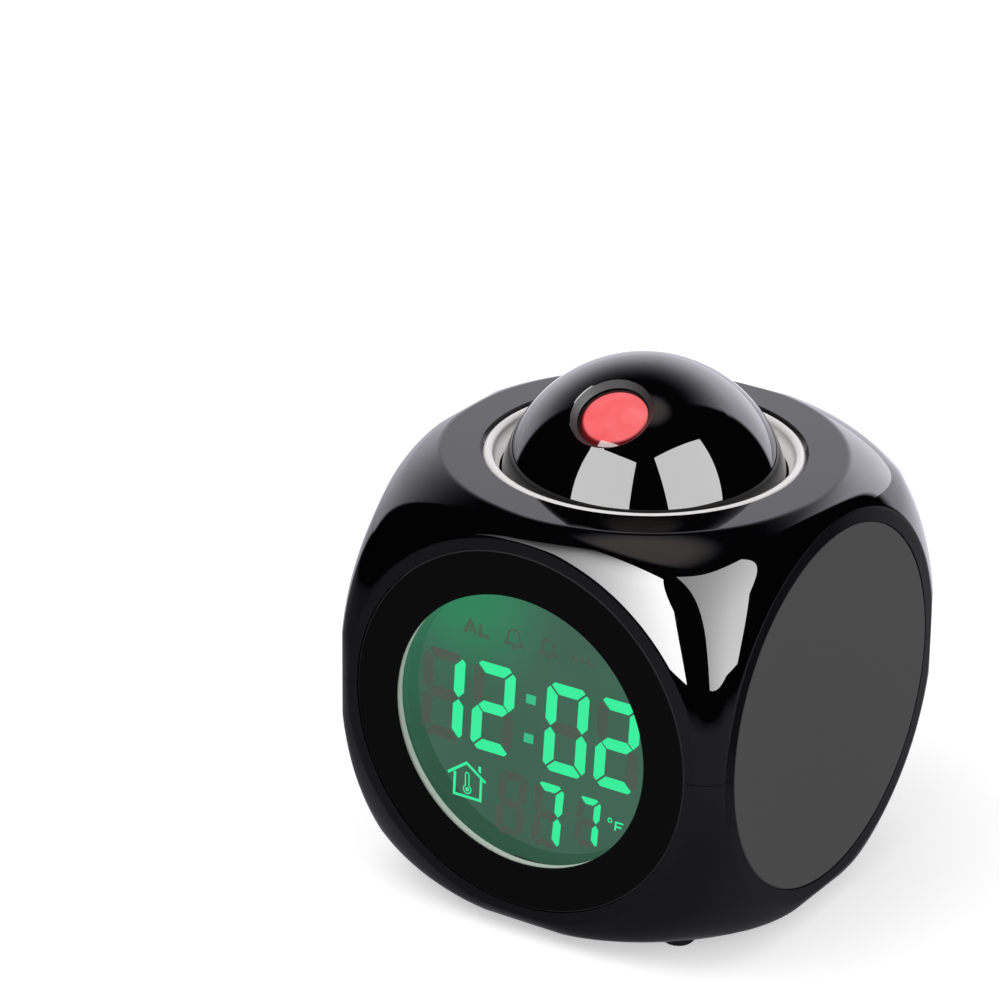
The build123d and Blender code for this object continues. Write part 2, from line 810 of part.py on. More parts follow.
# ---- Trim ring: rounded lip, throat that narrows over the ball ----
ring_lip_radius = ring_lip_width / 2
throat_radius = chord(ball_radius, ring_bottom_height - ball_height) + throat_gap
with BuildPart() as trim_ring:
    with BuildSketch(upright):
        with BuildLine():
            Polyline(
                (ring_radius, ring_top_height - ring_lip_radius),
                (ring_radius, ring_bottom_height),
                (throat_radius, ring_bottom_height),
                (ring_radius - ring_lip_width, ring_top_height - ring_lip_radius),
            )
            RadiusArc(
                (ring_radius - ring_lip_width, ring_top_height - ring_lip_radius),
                (ring_radius, ring_top_height - ring_lip_radius),
                ring_lip_radius,
            )
        make_face()
    revolve(axis=Axis.Z)
finish(trim_ring.part, "trim_ring")

# ---- Press collar: slides in the well, carries the ring above and the cup on its ledge ----
press_collar = turned(
    [
        (collar_bore_radius, ring_bottom_height),
        (ring_radius, ring_bottom_height),
        (ring_radius, collar_bottom_height + collar_flange_thickness),
        (collar_flange_radius, collar_bottom_height + collar_flange_thickness),
        (collar_flange_radius, collar_bottom_height),
        (collar_ledge_bore, collar_bottom_height),
        (collar_ledge_bore, collar_ledge_height),
        (collar_bore_radius, collar_ledge_height),
    ]
)
finish(press_collar, "press_collar")

# ---- Swivel cup: turns in the collar, its bowl clear of the ball, bearings for the pins ----
def on_bowl(radius, angle):
    """Point of the section of a bowl round the ball's centre, its angle below the level."""
    return (radius * cos(radians(angle)), ball_height - radius * sin(radians(angle)))


inner_end_angle = degrees(acos(cup_opening_radius / cup_inner_radius))
outer_end_angle = degrees(acos(cup_opening_radius / cup_bowl_radius))
shoulder_angle = degrees(asin(cup_shoulder_drop / cup_bowl_radius))
with BuildPart() as swivel_cup:
    with BuildSketch(upright):
        with BuildLine():
            ThreePointArc(
                on_bowl(cup_inner_radius, 0),
                on_bowl(cup_inner_radius, inner_end_angle / 2),
                on_bowl(cup_inner_radius, inner_end_angle),
            )
            Line(
                on_bowl(cup_inner_radius, inner_end_angle),
                on_bowl(cup_bowl_radius, outer_end_angle),
            )
            ThreePointArc(
                on_bowl(cup_bowl_radius, outer_end_angle),
                on_bowl(cup_bowl_radius, (outer_end_angle + shoulder_angle) / 2),
                on_bowl(cup_bowl_radius, shoulder_angle),
            )
            Polyline(
                on_bowl(cup_bowl_radius, shoulder_angle),
                (cup_radius, cup_shoulder_height),
                (cup_radius, cup_top_height),
                (cup_inner_radius, cup_top_height),
                on_bowl(cup_inner_radius, 0),
            )
        make_face()
    revolve(axis=Axis.Z)
    with BuildSketch(pin_plane):
        Circle(pin_radius + pin_clearance)
    extrude(amount=cup_radius, both=True, mode=Mode.SUBTRACT)
finish(swivel_cup.part, "swivel_cup")

# ---- Ball: two half shells that join at the pins' axis, under the ring ----
def half_ball(keep):
    """A half of the hollow ball, with half of each pin's bearing."""
    with BuildPart() as half:
        with Locations(ball_centre):
            Sphere(ball_radius)
            Sphere(ball_radius - ball_wall, mode=Mode.SUBTRACT)
        split(bisect_by=level(ball_height), keep=keep)
    return half.part


with BuildPart() as ball_lower_shell:
    add(half_ball(Keep.BOTTOM))
    with BuildSketch(level(ball_height - ball_tongue_rise)):
        Circle(ball_bore_radius + ball_tongue_gap)
        Circle(ball_bore_radius - ball_tongue, mode=Mode.SUBTRACT)
    extrude(amount=ball_tongue_rise)
    with BuildSketch(level(ball_height)):
        Circle(chord(ball_bore_radius, ball_tongue_rise) - ball_tongue_gap)
        Circle(ball_bore_radius - ball_tongue, mode=Mode.SUBTRACT)
    extrude(amount=ball_tongue_rise)
    with BuildSketch(level(ball_height)):
        Circle(ball_opening_radius)
    extrude(amount=-ball_radius, mode=Mode.SUBTRACT)
    with BuildSketch(pin_plane):
        Circle(pin_radius)
    extrude(amount=ball_radius, both=True, mode=Mode.SUBTRACT)
finish(ball_lower_shell.part, "ball_lower_shell")

boss_top_level = chord(ball_radius - ball_wall / 2, boss_circle + boss_radius)
eye_level = chord(ball_radius, eye_radius)
eye_throat_level = chord(ball_bore_radius, eye_throat_radius)
funnel_slope = (eye_radius - eye_throat_radius) / (eye_level - eye_throat_level)
with BuildPart() as ball_upper_shell:
    add(half_ball(Keep.TOP))
    # bosses that the lens barrel is screwed to
    with BuildSketch(lens_plane(flange_front_level)):
        with Locations(*on_circle(boss_circle, boss_angles)):
            Circle(boss_radius)
    extrude(amount=boss_top_level - flange_front_level)
    with BuildSketch(lens_plane(flange_front_level)):
        with Locations(*on_circle(boss_circle, boss_angles)):
            Circle(barrel_screw_radius + pilot_clearance)
    extrude(amount=barrel_screw_bite, mode=Mode.SUBTRACT)
    # funnel in front of the lens
    with BuildSketch(lens_section):
        with BuildLine():
            Polyline(
                (0, eye_throat_level),
                (eye_throat_radius, eye_throat_level),
                (eye_radius + funnel_slope * ball_wall, eye_level + ball_wall),
                (0, eye_level + ball_wall),
                close=True,
            )
        make_face()
    revolve(axis=lens_line, mode=Mode.SUBTRACT)
    with BuildSketch(lens_plane(0)):
        Circle(eye_throat_radius)
    extrude(amount=ball_radius, mode=Mode.SUBTRACT)
    with BuildSketch(pin_plane):
        Circle(pin_radius)
    extrude(amount=ball_radius, both=True, mode=Mode.SUBTRACT)
finish(ball_upper_shell.part, "ball_upper_shell")

# ---- Trunnion pins: heads inside the ball, ends in the cup's bearings ----
with BuildPart() as trunnion_pins:
    for end in (-1, 1):
        with BuildSketch(pin_plane.offset(end * (cup_radius - pin_tip_gap))):
            Circle(pin_radius)
        extrude(amount=-end * (cup_radius - pin_tip_gap - pin_head_distance))
        with BuildSketch(pin_plane.offset(end * pin_head_distance)):
            Circle(pin_head_radius)
        extrude(amount=-end * pin_head_thickness)
finish(trunnion_pins.part, "trunnion_pins")

# ---- Projector: barrel, lens, picture slide, condenser, lamp and its board ----
with BuildPart() as lens_barrel:
    with BuildSketch(lens_plane(barrel_rear_level)):
        Circle(barrel_radius)
    extrude(amount=barrel_front_level - barrel_rear_level)
    with BuildSketch(lens_plane(barrel_rear_level)):
        Circle(rear_flange_radius)
    extrude(amount=flange_thickness)
    with BuildSketch(lens_plane(flange_level)):
        Circle(flange_radius)
    extrude(amount=flange_thickness)
    with BuildSketch(lens_plane(barrel_rear_level)):
        Circle(barrel_bore_radius)
    extrude(amount=barrel_front_level - barrel_rear_level, mode=Mode.SUBTRACT)
    with BuildSketch(lens_plane(lens_seat_level)):
        Circle(lens_radius + lens_clearance)
    extrude(amount=barrel_front_level - lens_seat_level, mode=Mode.SUBTRACT)
    with BuildSketch(lens_plane(flange_level)):
        with Locations(*on_circle(boss_circle, boss_angles)):
            Circle(barrel_screw_radius + screw_clearance)
    extrude(amount=flange_thickness, mode=Mode.SUBTRACT)
finish(lens_barrel.part, "lens_barrel")

lens_dome_radius = (lens_radius**2 + lens_bulge**2) / (2 * lens_bulge)
lens_edge_level = lens_seat_level + lens_edge_thickness
lens_middle_level = lens_edge_level + lens_bulge
with BuildPart() as projector_lens:
    with BuildSketch(lens_section):
        with BuildLine():
            Polyline(
                (0, lens_middle_level),
                (0, lens_seat_level),
                (lens_radius, lens_seat_level),
                (lens_radius, lens_edge_level),
            )
            ThreePointArc(
                (lens_radius, lens_edge_level),
                (
                    lens_radius / 2,
                    lens_middle_level - lens_dome_radius + chord(lens_dome_radius, lens_radius / 2),
                ),
                (0, lens_middle_level),
            )
        make_face()
    revolve(axis=lens_line)
finish(projector_lens.part, "projector_lens")

picture_slide = disc(
    lens_plane(slide_level + slide_thickness), barrel_bore_radius - optic_clearance, slide_thickness
)
finish(picture_slide, "picture_slide")
condenser_lens = disc(
    lens_plane(condenser_level + condenser_thickness),
    barrel_bore_radius - optic_clearance,
    condenser_thickness,
)
finish(condenser_lens, "condenser_lens")
ball_board = disc(lens_plane(barrel_rear_level), rear_flange_radius, ball_board_thickness)
finish(ball_board, "ball_board")
with BuildPart() as projector_led:
    with BuildSketch(lens_plane(barrel_rear_level)):
        Circle(led_dome_radius)
    extrude(amount=led_dome_rise)
    led_top = projector_led.faces().sort_by(Axis(ball_centre, lens_axis))[-1]
    fillet(led_top.edges(), led_dome_rounding)
finish(projector_led.part, "projector_led")

barrel_screws = screw(
    Plane(origin=lens_plane(flange_level).origin, x_dir=across, z_dir=-lens_plane(0).z_dir),
    [(x, -y) for x, y in on_circle(boss_circle, boss_angles)],
    barrel_screw_radius,
    flange_thickness + barrel_screw_bite,
    barrel_screw_head_radius,
    barrel_screw_head,
)
finish(barrel_screws, "barrel_screws")

# ---- Spring deck under the collar: ring with ears on the deck posts and pegs for the springs ----
deck_inner_radius = chord(cup_bowl_radius, ball_height - deck_top_height - press_stroke) + deck_gap
with BuildPart() as spring_deck:
    with BuildSketch(level(deck_bottom_height)):
        Circle(deck_radius)
        for angle in deck_post_angles:
            with PolarLocations((deck_inner_radius + deck_post_circle) / 2, 1, angle):
                Rectangle(deck_post_circle - deck_inner_radius, deck_ear_width)
        with Locations(*deck_post_places):
            Circle(deck_ear_width / 2)
        Circle(deck_inner_radius, mode=Mode.SUBTRACT)
        with Locations(*deck_post_places):
            Circle(deck_screw_radius + screw_clearance, mode=Mode.SUBTRACT)
    extrude(amount=deck_thickness)
    with BuildSketch(level(deck_top_height)):
        with Locations(*on_circle(spring_circle, spring_angles)):
            Circle(spring_peg_radius)
    extrude(amount=spring_peg_length)
finish(spring_deck.part, "spring_deck")

deck_screws = screw(
    Plane(origin=(0, 0, mid_z + deck_bottom_height), x_dir=(1, 0, 0), z_dir=(0, 0, -1)),
    [(x, -y) for x, y in deck_post_places],
    deck_screw_radius,
    deck_thickness + deck_screw_bite,
    deck_screw_head_radius,
    deck_screw_head,
)
finish(deck_screws, "deck_screws")

# ---- Return springs between the deck and the collar ----
spring_length = collar_bottom_height - deck_top_height - 2 * spring_wire_radius
with BuildPart() as return_springs:
    for x, y in on_circle(spring_circle, spring_angles):
        spring_foot = (x, y, mid_z + deck_top_height + spring_wire_radius)
        with BuildLine() as coil:
            Helix(spring_length / spring_turns, spring_length, spring_radius, center=spring_foot)
        with BuildSketch(Plane(origin=coil.line @ 0, z_dir=coil.line % 0)):
            RegularPolygon(spring_wire_radius, 6)
        sweep(path=coil.line, is_frenet=True)
finish(return_springs.part, "return_springs")

# ---- Snooze switch on its board ----
def tact_switches(plane, places):
    """Push switches: a square body with a round button."""
    with BuildPart() as group:
        with BuildSketch(plane):
            with Locations(*places):
                Rectangle(tact_side, tact_side)
        extrude(amount=tact_body)
        with BuildSketch(plane.offset(tact_body)):
            with Locations(*places):
                Circle(tact_button_radius)
        extrude(amount=tact_button)
    return group.part


with BuildPart() as snooze_board:
    with BuildSketch(level(deck_top_height)):
        with Locations((0, snooze_circle)):
            Rectangle(snooze_board_length, snooze_board_width)
    extrude(amount=board_thickness)
finish(snooze_board.part, "snooze_board")
snooze_switch = tact_switches(level(deck_top_height + board_thickness), [(0, snooze_circle)])
finish(snooze_switch, "snooze_switch")

# ---- Rear panel: rim on the housing's ledge, recessed field with keys, grille, jack and vent ----
key_places = [
    ((n - (key_count - 1) / 2) * key_pitch, key_row_height) for n in range(key_count)
]
key_standoff_places = [
    ((n - (key_count - 2) / 2) * key_pitch, key_row_height) for n in (0, key_count - 2)
]
key_flange_depth = field_back_depth + key_gap
key_face_depth = field_drop - key_rise
key_stem_depth = key_flange_depth + key_flange_thickness + key_stem_length
key_board_depth = key_stem_depth + key_stroke + touch_gap + tact_height
slot_count = int(grille_radius / grille_pitch)
with BuildPart() as rear_panel:
    with BuildSketch(rear_face()):
        Circle(cover_radius)
    extrude(amount=-cover_thickness)
    chamfer(rear_panel.edges().group_by(Axis.Y)[-1], cover_chamfer)
    with BuildSketch(rear_face(cover_thickness)):
        Circle(ledge_radius - spigot_gap)
    extrude(amount=cover_thickness - field_back_depth)
    with BuildSketch(rear_face()):
        Circle(field_radius)
    extrude(amount=-field_drop, mode=Mode.SUBTRACT)
    # wall round the speaker and stand-offs for the key board
    with BuildSketch(rear_face(field_back_depth)):
        with Locations((0, speaker_height)):
            Circle(speaker_radius + speaker_gap + speaker_wall)
            Circle(speaker_radius + speaker_gap, mode=Mode.SUBTRACT)
    extrude(amount=-speaker_wall_length)
    with BuildSketch(rear_face(field_back_depth)):
        with Locations(*key_standoff_places):
            Circle(key_standoff_radius)
    extrude(amount=field_back_depth - key_board_depth)
    with BuildSketch(rear_face()):
        with Locations(*key_places):
            Circle(key_radius + key_gap)
        with Locations((jack_across, jack_height)):
            Circle(jack_nose_radius + key_gap)
    extrude(amount=-field_back_depth, mode=Mode.SUBTRACT)
    with BuildSketch(rear_face()):
        for n in range(-slot_count, slot_count + 1):
            with Locations((0, speaker_height + n * grille_pitch)):
                SlotOverall(2 * chord(grille_radius + grille_slot / 2, n * grille_pitch), grille_slot)
        for n in range(vent_slots):
            with Locations((-jack_across, jack_height + (n - (vent_slots - 1) / 2) * vent_pitch)):
                SlotOverall(vent_length, vent_width)
    extrude(amount=-field_back_depth, mode=Mode.SUBTRACT)
finish(rear_panel.part, "rear_panel")

# ---- Keys, their board and switches ----
for (across_key, height), name in zip(key_places, key_names):
    with BuildPart() as key:
        with BuildSketch(rear_face(key_face_depth)):
            with Locations((across_key, height)):
                Circle(key_radius)
        extrude(amount=key_face_depth - key_flange_depth)
        fillet(key.edges().group_by(Axis.Y)[-1], key_rise / 2)
        with BuildSketch(rear_face(key_flange_depth)):
            with Locations((across_key, height)):
                Circle(key_flange_radius)
        extrude(amount=-key_flange_thickness)
        with BuildSketch(rear_face(key_flange_depth + key_flange_thickness)):
            with Locations((across_key, height)):
                Circle(key_stem_radius)
        extrude(amount=-key_stem_length)
    finish(key.part, name)

with BuildPart() as key_board:
    with BuildSketch(rear_face(key_board_depth)):
        with Locations((0, key_row_height)):
            Rectangle(key_board_width, key_board_height)
    extrude(amount=-board_thickness)
finish(key_board.part, "key_board")
key_switches = tact_switches(rear_face(key_board_depth), key_places)
finish(key_switches, "key_switches")

# ---- Speaker: frame, paper cone and magnet ----
def speaker_ring(points):
    """A piece turned about the speaker's middle; each corner is (radius, depth behind the field)."""
    plane = Plane(
        origin=(0, half_width - field_back_depth, mid_z + speaker_height),
        x_dir=(1, 0, 0),
        z_dir=(0, 0, 1),
    )
    line = Axis((0, 0, mid_z + speaker_height), (0, 1, 0))
    return turned([(radius, -depth) for radius, depth in points], plane, line)


cone_edge_radius = speaker_radius - speaker_rim
speaker_frame = speaker_ring(
    [
        (speaker_radius, 0),
        (speaker_radius, speaker_plate),
        (magnet_radius + speaker_plate, speaker_depth),
        (0, speaker_depth),
        (0, speaker_depth - speaker_plate),
        (magnet_radius, speaker_depth - speaker_plate),
        (cone_edge_radius, speaker_plate),
        (cone_edge_radius, 0),
    ]
)
finish(speaker_frame, "speaker_frame")
speaker_cone = speaker_ring(
    [
        (cone_edge_radius, 0),
        (cone_edge_radius, cone_thickness),
        (cone_edge_radius - speaker_plate, cone_thickness),
        (voice_coil_radius, cone_drop + cone_thickness),
        (0, cone_drop + cone_thickness),
        (0, cone_drop),
        (voice_coil_radius, cone_drop),
        (cone_edge_radius - speaker_plate, 0),
    ]
)
finish(speaker_cone, "speaker_cone")
speaker_magnet = speaker_ring(
    [
        (0, speaker_depth),
        (0, speaker_depth + magnet_length),
        (magnet_radius, speaker_depth + magnet_length),
        (magnet_radius, speaker_depth),
    ]
)
finish(speaker_magnet, "speaker_magnet")

# ---- Power jack: moulded body with a nose in the panel, and its centre pin ----
with BuildPart() as dc_jack:
    with BuildSketch(rear_face(field_back_depth)):
        with Locations((jack_across, jack_height)):
            Rectangle(jack_body_width, jack_body_tall)
    extrude(amount=-jack_body_length)
    with BuildSketch(rear_face(field_drop)):
        with Locations((jack_across, jack_height)):
            Circle(jack_nose_radius)
    extrude(amount=-field_thickness)
    with BuildSketch(rear_face(field_drop)):
        with Locations((jack_across, jack_height)):
            Circle(jack_bore_radius)
    extrude(amount=-jack_bore_length, mode=Mode.SUBTRACT)
finish(dc_jack.part, "dc_jack")
dc_jack_pin = disc(
    rear_face(field_drop + jack_bore_length - jack_pin_length),
    jack_pin_radius,
    jack_pin_length,
    [(jack_across, jack_height)],
)
finish(dc_jack_pin, "dc_jack_pin")

# ---- Battery cells, contacts and springs ----
cell_rows = [(n - (cell_count - 1) / 2) * cell_pitch for n in range(cell_count)]
contact_x = bay_length / 2 - contact_thickness
with BuildPart() as battery_cells:
    for n, y in enumerate(cell_rows):
        nub_end = 1 if n % 2 == 0 else -1
        cell_plane = Plane(
            origin=(nub_end * (contact_x - touch_gap), y, mid_z + cell_height),
            x_dir=(0, 1, 0),
            z_dir=(nub_end, 0, 0),
        )
        with BuildSketch(cell_plane):
            Circle(cell_nub_radius)
        extrude(amount=-cell_nub)
        with BuildSketch(cell_plane.offset(-cell_nub)):
            Circle(cell_radius)
        extrude(amount=cell_nub - cell_length)
finish(battery_cells.part, "battery_cells")

with BuildPart() as battery_contacts:
    for end in (-1, 1):
        contact_plane = Plane(
            origin=(end * bay_length / 2, 0, mid_z + cell_height), x_dir=(0, 1, 0), z_dir=(end, 0, 0)
        )
        with BuildSketch(contact_plane):
            with Locations(*[(y, 0) for y in cell_rows]):
                Rectangle(contact_side, contact_side)
        extrude(amount=-contact_thickness)
finish(battery_contacts.part, "battery_contacts")

cell_spring_reach = bay_length - 2 * contact_thickness - cell_length - 2 * touch_gap
with BuildPart() as battery_springs:
    for n, y in enumerate(cell_rows):
        spring_end = -1 if n % 2 == 0 else 1
        seat = (spring_end * (contact_x - spring_wire_radius), y, mid_z + cell_height)
        with BuildLine() as coil:
            Helix(
                (cell_spring_reach - 2 * spring_wire_radius) / cell_spring_turns,
                cell_spring_reach - 2 * spring_wire_radius,
                cell_spring_radius,
                center=seat,
                direction=(-spring_end, 0, 0),
            )
        with BuildSketch(Plane(origin=coil.line @ 0, z_dir=coil.line % 0)):
            RegularPolygon(spring_wire_radius, 6)
        sweep(path=coil.line, is_frenet=True)
finish(battery_springs.part, "battery_springs")

# ---- Battery door: plate with a rounded hinge edge, pins and a latch ----
with BuildPart() as battery_door:
    with BuildSketch(level(-half_height)):
        Rectangle(door_length, door_width)
    extrude(amount=door_thickness)
    hinge_edges = battery_door.edges().filter_by(Axis.X).group_by(Axis.Y)[0]
    fillet(hinge_edges, door_thickness / 2 - touch_gap)
    with BuildSketch(level(-half_height + door_thickness)):
        with Locations((0, bay_width / 2 - cell_gap - latch_thickness / 2)):
            Rectangle(latch_width, latch_thickness)
    extrude(amount=latch_rise)
    with BuildSketch(Plane.YZ):
        with Locations((door_hinge_y, mid_z + door_hinge_height)):
            Circle(hinge_pin_radius)
    extrude(amount=door_length / 2 + hinge_pin_length, both=True)
finish(battery_door.part, "battery_door")
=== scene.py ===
from math import cos, pi, radians, sin

import bmesh
import bpy
from mathutils import Matrix, Vector


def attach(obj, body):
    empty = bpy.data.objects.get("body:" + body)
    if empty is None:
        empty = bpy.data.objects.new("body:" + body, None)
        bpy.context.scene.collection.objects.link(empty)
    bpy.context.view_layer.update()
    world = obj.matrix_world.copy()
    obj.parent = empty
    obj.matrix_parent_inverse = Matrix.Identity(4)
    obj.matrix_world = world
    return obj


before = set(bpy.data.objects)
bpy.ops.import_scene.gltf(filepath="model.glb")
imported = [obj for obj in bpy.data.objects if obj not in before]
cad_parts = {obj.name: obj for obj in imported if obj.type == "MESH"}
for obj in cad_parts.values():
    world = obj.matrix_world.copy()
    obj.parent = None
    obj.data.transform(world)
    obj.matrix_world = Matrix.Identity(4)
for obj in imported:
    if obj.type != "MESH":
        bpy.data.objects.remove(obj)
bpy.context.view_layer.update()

scene = bpy.context.scene

# ---- Camera ----
# A long lens looks down on the clock from the front and its right. The clock stands low and right
# of the middle of a square picture, so the picture's frame is shifted and not the aim.
mm = 0.001
housing_height = 43.2  # of the housing's middle above the table
middle = Vector((0, 0, housing_height * mm))
camera_azimuth, camera_elevation, camera_roll = radians(31.48), radians(25.75), radians(1.3)
camera_distance = 955.8 * mm

back = Vector(
    (
        sin(camera_azimuth) * cos(camera_elevation),
        -cos(camera_azimuth) * cos(camera_elevation),
        sin(camera_elevation),
    )
)
aside = Vector((0, 0, 1)).cross(back).normalized()
upward = back.cross(aside)
picture_x = aside * cos(camera_roll) + upward * sin(camera_roll)
picture_y = upward * cos(camera_roll) - aside * sin(camera_roll)
camera_data = bpy.data.cameras.new("camera")
camera_data.sensor_width = 36
camera_data.lens = 180.2
camera_data.shift_x = -0.14
camera_data.shift_y = 0.1505
camera = bpy.data.objects.new("camera", camera_data)
turn = Matrix((picture_x, picture_y, back)).transposed().to_4x4()
camera.matrix_world = Matrix.Translation(middle + back * camera_distance) @ turn
scene.collection.objects.link(camera)
scene.camera = camera

# ---- Housing halves ----
# Two deep ABS shells from polished moulds: a black mirror with the slow waviness of a thick wall
# that cools, joined by screws from below. Round each flat face runs a curved flank, and the ridges
# between flanks are blended by hand in the mould, so that they widen towards the corners.
half_sizes = (42.5, 42.5, 42.0)
flat_radius = 38.5  # of each face, where its flank begins
flank_start = radians(22)  # how far the flank leans away there
flank_radius = 31.8  # of the flank's curve in profile
face_softness = 0.2  # over which a face turns into its flank
blend_width = 1.37  # difference in height up to which two flanks blend
unlike, like = 0.9, 0.95  # cosines at which the mesh's own direction stays, and gives way
wave_width, smudge_width = 14, 9


def linear(colour):
    """An sRGB hex colour as the linear one that the sockets take."""
    parts = [int(colour[n : n + 2], 16) / 255 for n in (1, 3, 5)]
    return [c / 12.92 if c <= 0.04045 else ((c + 0.055) / 1.055) ** 2.4 for c in parts] + [1]


def per_metre(size):
    """The scale of a pattern whose features are this many millimetres wide."""
    return 1 / (size * mm)


def add(tree, kind, inputs=(), **settings):
    """Adds a shader node with its settings.

    The inputs are named, or listed in the order of the sockets in use. Each is a value, the output
    that feeds it, or a node whose first output in use does."""
    node = tree.nodes.new("ShaderNode" + kind)
    for name, value in settings.items():
        setattr(node, name, value)
    if not isinstance(inputs, dict):
        inputs = dict(zip([n for n, socket in enumerate(node.inputs) if socket.enabled], inputs))
    for name, value in inputs.items():
        if isinstance(value, bpy.types.Node):
            value = next(socket for socket in value.outputs if socket.enabled)
        if isinstance(value, bpy.types.NodeSocket):
            tree.links.new(value, node.inputs[name])
        else:
            node.inputs[name].default_value = value
    return node


def new_material(name):
    """An empty material and its node tree."""
    material = bpy.data.materials.new(name)
    material.use_nodes = True
    material.node_tree.nodes.clear()
    return material, material.node_tree


def dress(material, *names):
    """Gives CAD nodes a material."""
    for name in names:
        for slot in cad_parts[name].material_slots:
            slot.material = material


def widened_ridges(tree, place, surface):
    """The surface's direction on a housing whose ridges are blended wider towards the corners.

    Each pair of faces has a height above its face or flank, whichever is greater, in one octant.
    The direction is that of the greatest of the three, and mixed where two are nearly equal."""
    centred = add(tree, "VectorMath", [place, middle], operation="SUBTRACT")
    octant = add(tree, "VectorMath", [centred], operation="SIGN")
    folded = add(tree, "VectorMath", [centred], operation="ABSOLUTE")
    centre_out = (flat_radius - flank_radius * sin(flank_start)) * mm
    rise, facing = None, None
    for n, half in enumerate(half_sizes):
        axis = Vector([float(n == m) for m in range(3)])
        centre_up = (half - flank_radius * cos(flank_start)) * mm
        along = add(tree, "VectorMath", [folded, axis], operation="DOT_PRODUCT")
        level = add(tree, "VectorMath", [folded, Vector((1, 1, 1)) - axis], operation="MULTIPLY")
        out = add(tree, "VectorMath", [level], operation="LENGTH")
        sideways = add(tree, "VectorMath", [level], operation="NORMALIZE")
        past_side = add(tree, "Math", [out, centre_out], operation="SUBTRACT")
        above = add(tree, "Math", [along, centre_up], operation="SUBTRACT")
        past_end = add(tree, "Math", [above, 0.0], operation="MAXIMUM")
        to_side = add(tree, "VectorMath", [sideways, past_side], operation="SCALE")
        to_end = add(tree, "VectorMath", [axis, past_end], operation="SCALE")
        from_centre = add(tree, "VectorMath", [to_side, to_end], operation="ADD")
        reach = add(tree, "VectorMath", [from_centre], operation="LENGTH")
        flank = add(tree, "Math", [reach, flank_radius * mm], operation="SUBTRACT")
        flank_way = add(tree, "VectorMath", [from_centre], operation="NORMALIZE")
        flat = add(tree, "Math", [along, half * mm], operation="SUBTRACT")
        over = add(tree, "Math", [flat, flank], operation="SUBTRACT")
        on_flat = add(
            tree,
            "MapRange",
            {"Value": over, "From Min": -face_softness * mm, "From Max": face_softness * mm},
        )
        height = add(tree, "Math", [flat, flank], operation="MAXIMUM")
        way = add(tree, "Mix", [on_flat, flank_way, axis], data_type="VECTOR")
        if rise is None:
            rise, facing = height, way
            continue
        higher = add(tree, "Math", [height, rise], operation="SUBTRACT")
        share = add(
            tree,
            "MapRange",
            {"Value": higher, "From Min": -blend_width * mm, "From Max": blend_width * mm},
        )
        facing = add(tree, "Mix", [share, facing, way], data_type="VECTOR")
        rise = add(tree, "Math", [height, rise, blend_width * mm], operation="SMOOTH_MAX")
    unfolded = add(tree, "VectorMath", [facing, octant], operation="MULTIPLY")
    blend = add(tree, "VectorMath", [unfolded], operation="NORMALIZE")
    alike = add(tree, "VectorMath", [blend, surface], operation="DOT_PRODUCT")
    outer = add(tree, "MapRange", {"Value": alike, "From Min": unlike, "From Max": like})
    return add(tree, "Mix", [outer, surface, blend], data_type="VECTOR")


def polished(name, blended):
    """Black ABS from a polished mould, with or without the housing's blended ridges."""
    material, tree = new_material(name)
    place = add(tree, "TexCoord").outputs["Object"]
    surface = add(tree, "NewGeometry").outputs["Normal"]
    if blended:
        surface = widened_ridges(tree, place, surface)
    waviness = add(
        tree, "TexNoise", {"Vector": place, "Scale": per_metre(wave_width), "Detail": 1.0}
    )
    handling = add(
        tree, "TexNoise", {"Vector": place, "Scale": per_metre(smudge_width), "Detail": 4.0}
    )
    roughness = add(
        tree,
        "MapRange",
        {"Value": handling, "From Min": 0.4, "From Max": 0.8, "To Min": 0.01, "To Max": 0.035},
    )
    cooled = add(
        tree,
        "Bump",
        {"Height": waviness, "Strength": 0.12, "Distance": 0.02 * mm, "Normal": surface},
    )
    shader = add(
        tree,
        "BsdfPrincipled",
        {"Base Color": linear("#030304"), "Roughness": roughness, "IOR": 1.53, "Normal": cooled},
    )
    add(tree, "OutputMaterial", [shader])
    return material


dress(polished("blended_black_abs", True), "upper_housing", "lower_housing")

# ---- Feet ----
# Four pads of black rubber, moulded with a plug that is pressed into the screw tunnels. Rubber is
# dull and dusty, with a fine pitted skin.
foot_pit = 0.5  # the real skin's 0.1 mm pits are too fine to show
dust_patch = 4

rubber, tree = new_material("moulded_black_rubber")
place = add(tree, "TexCoord").outputs["Object"]
pits = add(tree, "TexNoise", {"Vector": place, "Scale": per_metre(foot_pit), "Detail": 3.0})
dust = add(tree, "TexNoise", {"Vector": place, "Scale": per_metre(dust_patch), "Detail": 5.0})
colour = add(tree, "Mix", [dust, linear("#141414"), linear("#242322")], data_type="RGBA")
skin = add(tree, "Bump", {"Height": pits, "Strength": 0.5, "Distance": 0.05 * mm})
shader = add(
    tree, "BsdfPrincipled", {"Base Color": colour, "Roughness": 0.75, "IOR": 1.52, "Normal": skin}
)
add(tree, "OutputMaterial", [shader])
dress(rubber, "foot_1", "foot_2", "foot_3", "foot_4")

# ---- Front bezel ----
# An ABS ring whose face is screen-printed black, which leaves a flat, even film of ink with a soft
# sheen. Along its bevelled rim a paler grey is painted as a fine highlight line.
bezel_radius, rim_width, rim_edge = 36.0, 0.3, 0.1
ink_mesh = 0.45  # the screen's threads, 0.1 mm apart on the real ring

